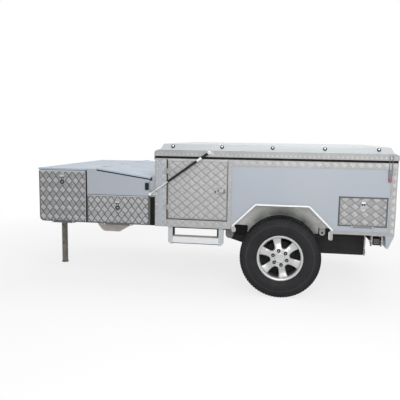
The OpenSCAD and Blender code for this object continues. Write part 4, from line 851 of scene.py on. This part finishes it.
# Darker towards the tyre: thrown dirt and painted shade
dirt_and_shade_over_tyre(arch_zinc, (0.11, 0.12, 0.117), near=0.40, far=0.47)
dress(arch_zinc, "wheel_arches")
# White lip colour: a painted highlight on the lit folded edge
highlight_white = coated("highlight_white", (0.86, 0.86, 0.86), (0.76, 0.76, 0.76), 0.4, cloud=10.0)
tab_zinc = zinc_coat("tab_zinc", (0.46, 0.465, 0.455), (0.38, 0.385, 0.375), (0.26, 0.265, 0.25))
lip_width, lip_deep, lip_proud, arch_top_half, arch_bend_up = 0.014, 0.004, 0.002, 0.249, 0.042
tab_width, tab_high = 0.032, body_base + 0.036
# Radius, thickness and edge of a tab
tab_finish = (tab_width / 2 - 0.0005, 0.0012, 0.0004)
arch_low, arch_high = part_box("wheel_arches")
arch_middle, arch_bend_z = (arch_low.x + arch_high.x) / 2, body_base + arch_bend_up
arch_line = [(arch_low.x, arch_bend_z), (arch_middle - arch_top_half, arch_high.z),
             (arch_middle + arch_top_half, arch_high.z), (arch_high.x, arch_bend_z)]
# Each tab's front edge and foot
arch_feet = (arch_low.x, body_base - 0.020), (arch_high.x - tab_width, body_base - 0.057)
for hand, side in sides.items():
    lip = edge_strip(side, arch_line, lip_width, arch_high.y - lip_deep, arch_high.y + lip_proud)
    piece(f"arch_lip_{hand}", *lip, highlight_white, "chassis", "galvanised")
    tabs = [side_plate(side, x, x + tab_width, foot, tab_high, arch_high.y, *tab_finish)
            for x, foot in arch_feet]
    piece(f"arch_tabs_{hand}", *joined(tabs), tab_zinc, "chassis", "galvanised")


# Door edges
# Black rubber shows round each side door, wider at its front and foot as painted shade in the gaps; the
# door hangs on two steel hinges under a folded sheet. Grey strips round each hatch are painted shade in its
# gaps. The drop doors of the boxes have pale folded edges, and a black strip at the rear of a front box's
# door is painted shade in the joint to the locker.
seal_rubber = coated("seal_rubber", (0.004, 0.004, 0.004), (0.010, 0.010, 0.010), 0.6, cloud=20.0,
                     peel=0.0003, gloss=0.15)
# Grey strips round a hatch: painted shade in its gaps
hatch_shade_grey = coated("hatch_shade_grey", (0.09, 0.09, 0.095), (0.14, 0.14, 0.145), 0.6, cloud=20.0)
header_sheet = tread_sheet("header_sheet", (0.46, 0.46, 0.46))
hinge_steel = coated("hinge_steel", (0.36, 0.365, 0.37), (0.28, 0.285, 0.29), 0.45, cloud=30.0, metallic=0.3)
# Radius, thickness and edge of the strips round doors and hatches, and radius and thickness of folded sheet
rubber_and_shade_finish, fold_finish = (0.0008, 0.0024, 0.0004), (0.001, 0.003)
# Widths of the strips at the front, rear, lower and upper edge; the wider ones are painted shade in gaps
door_rubber_and_shade, hatch_gap_shade = (0.010, 0.0035, 0.0065, 0.002), (0.008, 0.009, 0.005, 0.005)


def border(side, x0, x1, z0, z1, out, widths):
    """Four strips on a side face, centred on a rectangle's front, rear, lower and upper edge, as rubber and
    painted shade.
    """
    front, rear, foot, top = widths
    middle_x, middle_z, length, height = (x0 + x1) / 2, (z0 + z1) / 2, x1 - x0, z1 - z0
    strips = [(x0, middle_z, front, height + foot), (x1, middle_z, rear, height + foot),
              (middle_x, z0, length, foot), (middle_x, z1, length, top)]
    return joined([plate(on_side(side, x, z, out), wide, tall, *rubber_and_shade_finish)
                   for x, z, wide, tall in strips])


# Front, rear, lower and upper seam of a side door
door_seams = door_front - 0.003, door_high.x + 0.002, door_low.z - 0.002, door_high.z + 0.002
door_foot = body_base + 0.004
header_inset, header_lap, header_gap = 0.004, 0.007, 0.001
hatch_inset, hatch_drop, hatch_foot = 0.0045, 0.0035, body_base + 0.083
# Edges at the rear of a front box's door: material, slot, distance of the middle from the end, and width
# The black joint strip is painted shade in the gap to the locker
rear_edges = {"fold": (step_enamel, "paint", 0.0105, 0.006), "joint": (seal_rubber, "rubber", 0.0038, 0.0068)}
top_folds, fold_front, fold_rear = {"front_door": 0.014, "locker_door": 0.010}, 0.001, 0.007
# Width, height, radius and thickness of a hinge's leaves, and their heights
hinge_leaf, hinge_heights = (0.058, 0.050, 0.003, 0.0075), (door_low.z + 0.114, door_high.z - 0.106)
for hand, side in sides.items():
    round_door = border(side, *door_seams, body_side, door_rubber_and_shade)
    piece(f"door_rubber_and_shade_{hand}", *round_door, seal_rubber, "chassis", "rubber")
    header = side_plate(side, door_front + header_inset, door_high.x, door_high.z - header_lap,
                        body_top - header_gap, body_side, *fold_finish)
    piece(f"door_header_{hand}", *header, header_sheet, "chassis", "tread_plate")
    low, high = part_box(f"hatch_{hand}")
    on_hatch = border(side, low.x + hatch_inset, high.x - hatch_inset, hatch_foot, high.z - hatch_drop,
                      body_side, hatch_gap_shade)
    piece(f"hatch_rubber_{hand}", *on_hatch, hatch_shade_grey, f"hatch_{hand}", "rubber")
    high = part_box(f"front_door_{hand}")[1]
    for name, (edge_tone, slot, back, wide) in rear_edges.items():
        strip = side_plate(side, high.x - back - wide / 2, high.x - back + wide / 2, door_foot, high.z,
                           body_side, *fold_finish)
        piece(f"door_{name}_{hand}", *strip, edge_tone, f"front_door_{hand}", slot)
    for door, fold_height in top_folds.items():
        low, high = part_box(f"{door}_{hand}")
        top_fold = side_plate(side, low.x + fold_front, high.x - fold_rear, high.z - fold_height, high.z,
                              body_side, *fold_finish)
        piece(f"top_fold_{door}_{hand}", *top_fold, step_enamel, f"{door}_{hand}", "paint")
    leaves = [plate(on_side(side, door_front - mid_gap, z, body_side), *hinge_leaf) for z in hinge_heights]
    piece(f"door_hinges_{hand}", *joined(leaves), hinge_steel, "chassis", "galvanised")


# Step links, flaps and closing plates
# Each step hangs on two black folding links; black strips under the sill and the tread are painted shade.
# A rubber flap hangs inside each wheel arch's front foot, and painted plates close the gap before the body.
step_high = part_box("step_posts")[1]
tread_low, tread_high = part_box("step_treads")
post_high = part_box("gap_posts")[1]
link_width, link_low, link_top, link_out = 0.018, body_base - 0.082, body_base - 0.002, step_high.y - 0.030
sill_low, sill_out, lip_height = body_base - 0.012, step_high.y - 0.006, 0.006
flap_low, flap_high, flap_rear = body_base - 0.105, body_base - 0.002, axle_x - 0.330
arch_inner = body_side - 0.295
gap_front, gap_high, gap_out = body_front - 0.057, wall_high - 0.020, body_side - 0.026
cap_front, cap_rear = body_front - 0.033, body_front - 0.001
cap_low, cap_high = wall_high - 0.022, wall_high + 0.024
# Radius and thickness of each, and for the closing plates also edge and start
link_finish, sill_shade_finish = (0.005, 0.014), (0.001, 0.005)
lip_shade_finish, flap_finish = (0.001, 0.002), (0.010, 0.004)
gap_finish, cap_finish = (0.002, 0.003, 0.001, -0.003), (0.001, 0.003, 0.001, -0.003)
for hand, side in sides.items():
    in_black = [side_plate(side, x, x + link_width, link_low, link_top, link_out, *link_finish)
                for x in (tread_low.x, tread_high.x - link_width)]
    # Black strips under the sill and along the tread's foot: painted shade under those edges
    in_black += [side_plate(side, x0, x1, sill_low, body_base, sill_out, *sill_shade_finish)
                 for x0, x1 in ((tread_low.x, tread_high.x), (step_high.x, sill_end))]
    in_black.append(side_plate(side, tread_low.x, tread_high.x, tread_low.z, tread_low.z + lip_height,
                               tread_high.y, *lip_shade_finish))
    piece(f"step_links_{hand}", *joined(in_black), enamel, "chassis", "black_steel")
    flap = side_plate(side, arch_low.x, flap_rear, flap_low, flap_high, arch_inner, *flap_finish)
    piece(f"wheel_flap_{hand}", *flap, seal_rubber, "chassis", "rubber")
    closing = side_plate(side, gap_front, body_front, post_high.z, gap_high, gap_out, *gap_finish)
    cap = side_plate(side, cap_front, cap_rear, cap_low, cap_high, gap_out, *cap_finish)
    piece(f"gap_plate_{hand}", *joined([closing, cap]), grey_enamel, "chassis", "paint")


# Locks and handles
# Folding T-handle locks: a dull round-ended plate with a plated T bar above dark slots, painted shade of its
# recess, and a well below, one on each drop door and hatch. The side doors have a dull dished latch with
# dark slots, painted shade in its openings, a paddle and a dark key barrel.
plated = coated("plated", (0.66, 0.67, 0.69), (0.54, 0.55, 0.57), 0.25, cloud=12.0, metallic=0.8)
lock_metal = coated("lock_metal", (0.42, 0.423, 0.43), (0.34, 0.343, 0.35), 0.42, cloud=20.0, metallic=0.4)
dark_well = coated("dark_well", (0.008, 0.009, 0.012), (0.018, 0.019, 0.022), 0.4, cloud=30.0)


def capsule(place, length, radius, height):
    """Bar along a place's width with rounded ends, its axis at a height above the place."""
    origin, _, upward, outward = axes(place)
    bend = np.linspace(0.05, np.pi / 2, 6)
    end = radius * (1 - np.cos(bend))
    reach = np.concatenate([end - length / 2, length / 2 - end[::-1]])
    girth = radius * np.concatenate([np.sin(bend), np.sin(bend[::-1])])
    return loft(circles(np.stack([girth, reach], -1), (origin + height * outward, upward, outward), 16))


def clear_of_corner(width, front_first):
    """Test for points of a door's face that lie inside its round lower front corner."""
    def inside(u, v):
        """Whether points lie no farther than the radius from the middle of the corner's arc."""
        ahead_of = np.clip(front_round - (u if front_first else width - u), 0, None)
        return np.hypot(ahead_of, np.clip(front_round - v, 0, None)) < front_round
    return inside


front_round = 0.058
box_pitch, box_tones, locker_tones = (0.070, 0.0915), (0.0, 0.96), (0.26, 0.90)
hatch_pitch, hatch_tones = (0.092, 0.070), (0.26, 0.47)
# Each door: its tread's pitch and tones, its lower edge above the body's, its lock below its upper edge, its
# well and the well's slot
drop_doors = {"front_door": (box_pitch, box_tones, 0.004, 0.086, dark_well, "black_plastic"),
              "locker_door": (box_pitch, locker_tones, 0.004, 0.092, dark_well, "black_plastic"),
              "hatch": (hatch_pitch, hatch_tones, 0.080, 0.076, lock_metal, "bright_steel")}
# Plates: width, height, radius, thickness, edge and start. Bar: length, radius and height of its axis
lock_plate, lock_bar = (0.054, 0.114, 0.026, 0.006), (0.048, 0.0088, 0.018)
lock_slot = (0.010, 0.024, 0.004, 0.0070, 0.0004, 0.004)
# Dark slots beside the T bar: painted shade of the lock's recess
slot_up, slots_aside, bar_up, well_down = 0.012, (-0.009, 0.010), 0.0284, 0.028
well_profile = [(0.0245, 0.003), (0.0245, 0.0072), (0.0225, 0.0080), (0.0090, 0.0080), (0.0078, 0.0072),
                (0.0078, 0.003)]
latch_x, latch_z = door_high.x - 0.072, door_high.z - 0.287
key_x, key_z, paddle_x, paddle_z = latch_x - 0.040, latch_z - 0.004, latch_x + 0.015, latch_z + 0.006
latch_plate, paddle_plate = (0.106, 0.052, 0.023, 0.011, 0.003), (0.040, 0.026, 0.006, 0.0145, 0.002, 0.010)
# Latch slots: to the rear and up from the latch's middle, width and height, and what all share
latch_slots = (0.043, 0.002, 0.009, 0.034), (-0.014, 0.008, 0.010, 0.022), (0.014, -0.014, 0.056, 0.006)
slot_finish = (0.003, 0.0120, 0.0004, 0.009)
key_profile = [(0.0085, 0.009), (0.0085, 0.0122), (0.0065, 0.0126), (0.001, 0.0126)]
for hand, side in sides.items():
    for door, (pitch, tones, lift, drop, well, well_slot) in drop_doors.items():
        body = f"{door}_{hand}"
        low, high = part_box(body)
        wall = side_wall(side, low.x, high.x, body_base + lift, high.z, body_side)
        kept = clear_of_corner(wall[3], side < 0) if door == "front_door" else None
        tread_panels(f"tread_{body}", body, [(wall, pitch, tones, kept)])
        lock_x, lock_z = (low.x + high.x) / 2, high.z - drop
        lock_base = plate(on_side(side, lock_x, lock_z, body_side), *lock_plate)
        piece(f"lock_plate_{body}", *lock_base, lock_metal, body, "alloy")
        slots = [plate(on_side(side, lock_x + aside, lock_z + slot_up, body_side), *lock_slot)
                 for aside in slots_aside]
        piece(f"lock_slots_{body}", *joined(slots), dark_well, body, "black_plastic")
        bar = capsule(on_side(side, lock_x, lock_z + bar_up, body_side), *lock_bar)
        piece(f"lock_bar_{body}", *bar, plated, body, "bright_steel")
        ring = turned_ring(well_profile, on_side(side, lock_x, lock_z - well_down, body_side), 32)
        piece(f"lock_well_{body}", *ring, well, body, well_slot)
    pull = plate(on_side(side, latch_x, latch_z, body_side), *latch_plate)
    piece(f"door_pull_{hand}", *pull, lock_metal, "chassis", "alloy")
    # Dark plates in the latch's slots: painted shade in its openings
    dark = [plate(on_side(side, latch_x + aside, latch_z + lift, body_side), wide, tall, *slot_finish)
            for aside, lift, wide, tall in latch_slots]
    dark.append(turned(key_profile, on_side(side, key_x, key_z, body_side), 20))
    piece(f"door_slot_{hand}", *joined(dark), dark_well, "chassis", "black_plastic")
    paddle = plate(on_side(side, paddle_x, paddle_z, body_side), *paddle_plate)
    piece(f"door_paddle_{hand}", *paddle, lock_metal, "chassis", "bright_steel")


# Stabiliser leg ends
# The open end of each leg's tube is shut by a black plug with three rusty ribs across it.
# Both sit inside the tube, and turn with the leg.
plug_side, plug_sunk, rib_height, rib_pitch = 0.052, 0.0155, 0.006, 0.017
plug_finish, rib_finish = (0.003, 0.008), (0.001, 0.0145, 0.001, 0.007)
for hand, side in sides.items():
    low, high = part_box(f"leg_{hand}")
    leg_x, leg_z = (low.x + high.x) / 2, (low.z + high.z) / 2
    leg_end = max(abs(low.y), abs(high.y)) - plug_sunk
    plug = plate(on_side(side, leg_x, leg_z, leg_end), plug_side, plug_side, *plug_finish)
    piece(f"leg_plug_{hand}", *plug, dark_well, f"leg_{hand}", "black_plastic")
    ribs = [plate(on_side(side, leg_x, leg_z + step * rib_pitch, leg_end), plug_side, rib_height, *rib_finish)
            for step in (-1, 0, 1)]
    piece(f"leg_ribs_{hand}", *joined(ribs), weathered_tube, f"leg_{hand}", "tube_steel")


# Struts and catches
# Gas struts with black barrels on plated rods: each barrel has a plated sleeve near its upper end and a
# plated eye. The over-centre catches are dark steel with a red grip.
rod_chrome = coated("rod_chrome", (0.80, 0.80, 0.81), (0.70, 0.70, 0.71), 0.2, cloud=30.0, metallic=0.35)
dress(rod_chrome, "strut_rod_left", "strut_rod_right")
dress(enamel, "strut_barrel_left", "strut_barrel_right")
catch_steel = coated("catch_steel", (0.20, 0.205, 0.21), (0.13, 0.135, 0.14), 0.4, cloud=40.0, metallic=0.4)
dress(catch_steel, "toggle_catches")
grip_red = coated("grip_red", (0.34, 0.06, 0.11), (0.42, 0.11, 0.17), 0.45, cloud=40.0)
lid_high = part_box("lid_frame")[1]
band_height = 0.056
lid_base = lid_high.z - band_height
strut_out = body_side + 0.038
strut_foot = np.array([body_front - 0.039, 0.0, body_top - 0.345])
strut_head = np.array([body_front + 0.530, 0.0, lid_base + 0.042])
strut_way = (strut_head - strut_foot) / np.linalg.norm(strut_head - strut_foot)
across_strut = np.array([0.0, 1.0, 0.0])
sleeve_profile = [(0.0118, -0.142), (0.0128, -0.140), (0.0128, -0.092), (0.0118, -0.090)]
eye_profile = [(0.0140, -0.0092), (0.0158, -0.0080), (0.0158, 0.0080), (0.0140, 0.0092), (0.0080, 0.0092),
               (0.0080, -0.0092)]
grip_x, grip_z, grip_plate = body_rear - 0.066, body_top - 0.152, (0.030, 0.036, 0.013, 0.022, 0.005, 0.010)
for hand, side in sides.items():
    head = strut_head + [0.0, side * strut_out, 0.0]
    sleeve = turned(sleeve_profile, (head, across_strut, np.cross(strut_way, across_strut)), 32)
    eye_ring = turned_ring(eye_profile, on_side(side, head[0], head[2], strut_out), 32)
    piece(f"strut_sleeve_{hand}", *joined([sleeve, eye_ring]), rod_chrome, f"strut_barrel_{hand}",
          "bright_steel")
    grip = plate(on_side(side, grip_x, grip_z, body_side), *grip_plate)
    piece(f"catch_grip_{hand}", *grip, grip_red, "chassis", "lens_red")


# Lid
# A tread-plate frame carries a raised off-white pan, and shuts on a rubber seal. Each long side of the pan
# has a row of rubber-ringed studs with plated heads, for the cover's cord.
pan_skin = enamelled("pan_skin", (0.53, 0.56, 0.575), (0.48, 0.51, 0.53), 0.38)
dress(pan_skin, "lid_pan", bevel=0.006)
# The gap posts between the locker and the body are black: painted shade in that gap
dress(seal_rubber, "seals", "lid_studs", "gap_posts")
band_pitch, band_tones, band_end, band_round = (0.042, 0.036), (0.62, 1.10), 0.008, 0.030
lid_front, lid_rear, lid_side = body_front - 0.006, body_rear + 0.006, lid_high.y
end_low, end_high = lid_base + edge_rim, lid_high.z - band_round + edge_rim
bands = [side_wall(side, lid_front + band_end, lid_rear - band_end, lid_base, lid_high.z, lid_side)
         for side in sides.values()]
bands += [end_wall(end, lid_side, end_low, end_high, x) for end, x in ((-1, lid_front), (1, lid_rear))]
tread_panels("tread_lid_band", "lid", [(band, band_pitch, band_tones) for band in bands])
# The pan's edge slopes from the frame: its inset there, its run in and up, and the studs' share of that
pan_inset, slope_in, slope_up, stud_share = 0.024, 0.034, 0.062, 0.58
stud_count, stud_pitch, stud_height = 5, 0.474, 0.0128
stud_y, stud_z = lid_side - pan_inset - stud_share * slope_in, lid_high.z + stud_share * slope_up
pan_tilt = np.arctan2(slope_up, slope_in)
stud_profile = [(0.0090, 0.0), (0.0092, 0.0012), (0.0070, 0.0030), (0.0005, 0.0038)]
heads = []
for side in sides.values():
    upward = np.array([0.0, -side * np.cos(pan_tilt), np.sin(pan_tilt)])
    outward = np.array([0.0, side * np.sin(pan_tilt), np.cos(pan_tilt)])
    for x in (lid_front + lid_rear) / 2 + stud_pitch * (np.arange(stud_count) - (stud_count - 1) / 2):
        foot = np.array([x, side * stud_y, stud_z])
        heads.append(turned(stud_profile, (foot + stud_height * outward, (-side, 0, 0), upward), 24))
piece("stud_heads", *joined(heads), plated, "lid", "bright_steel")


# Tail lamps
# Moulded lenses on the rear wall: red, with an amber panel above and a clear one below.
# Both panels stand a little proud of the red.
lens = coated("lens", (0.36, 0.012, 0.012), (0.28, 0.01, 0.01), 0.2, cloud=20.0)
dress(lens, "tail_lamps", bevel=0.003)
amber = coated("amber", (0.60, 0.22, 0.02), (0.52, 0.17, 0.015), 0.2, cloud=20.0)
clear = coated("clear", (0.72, 0.73, 0.74), (0.62, 0.63, 0.64), 0.15, cloud=20.0)
lamp_low, lamp_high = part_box("tail_lamps")
lamp_inset, lamp_width, lamp_finish = 0.045, 0.076, (0.008, 0.0008, 0.0004, -0.002)
# Each panel's glass, height and middle above the lamp's foot
lamp_panels = {"amber": (amber, 0.058, 0.168), "clear": (clear, 0.044, 0.030)}
for hand, side in sides.items():
    for tint, (glass, tall, lift) in lamp_panels.items():
        spot = (lamp_high.x, side * (lamp_high.y - lamp_inset), lamp_low.z + lift), (0, 1, 0), (0, 0, 1)
        panel = plate(spot, lamp_width, tall, *lamp_finish)
        piece(f"lamp_{tint}_{hand}", *panel, glass, "chassis", "lens_red")
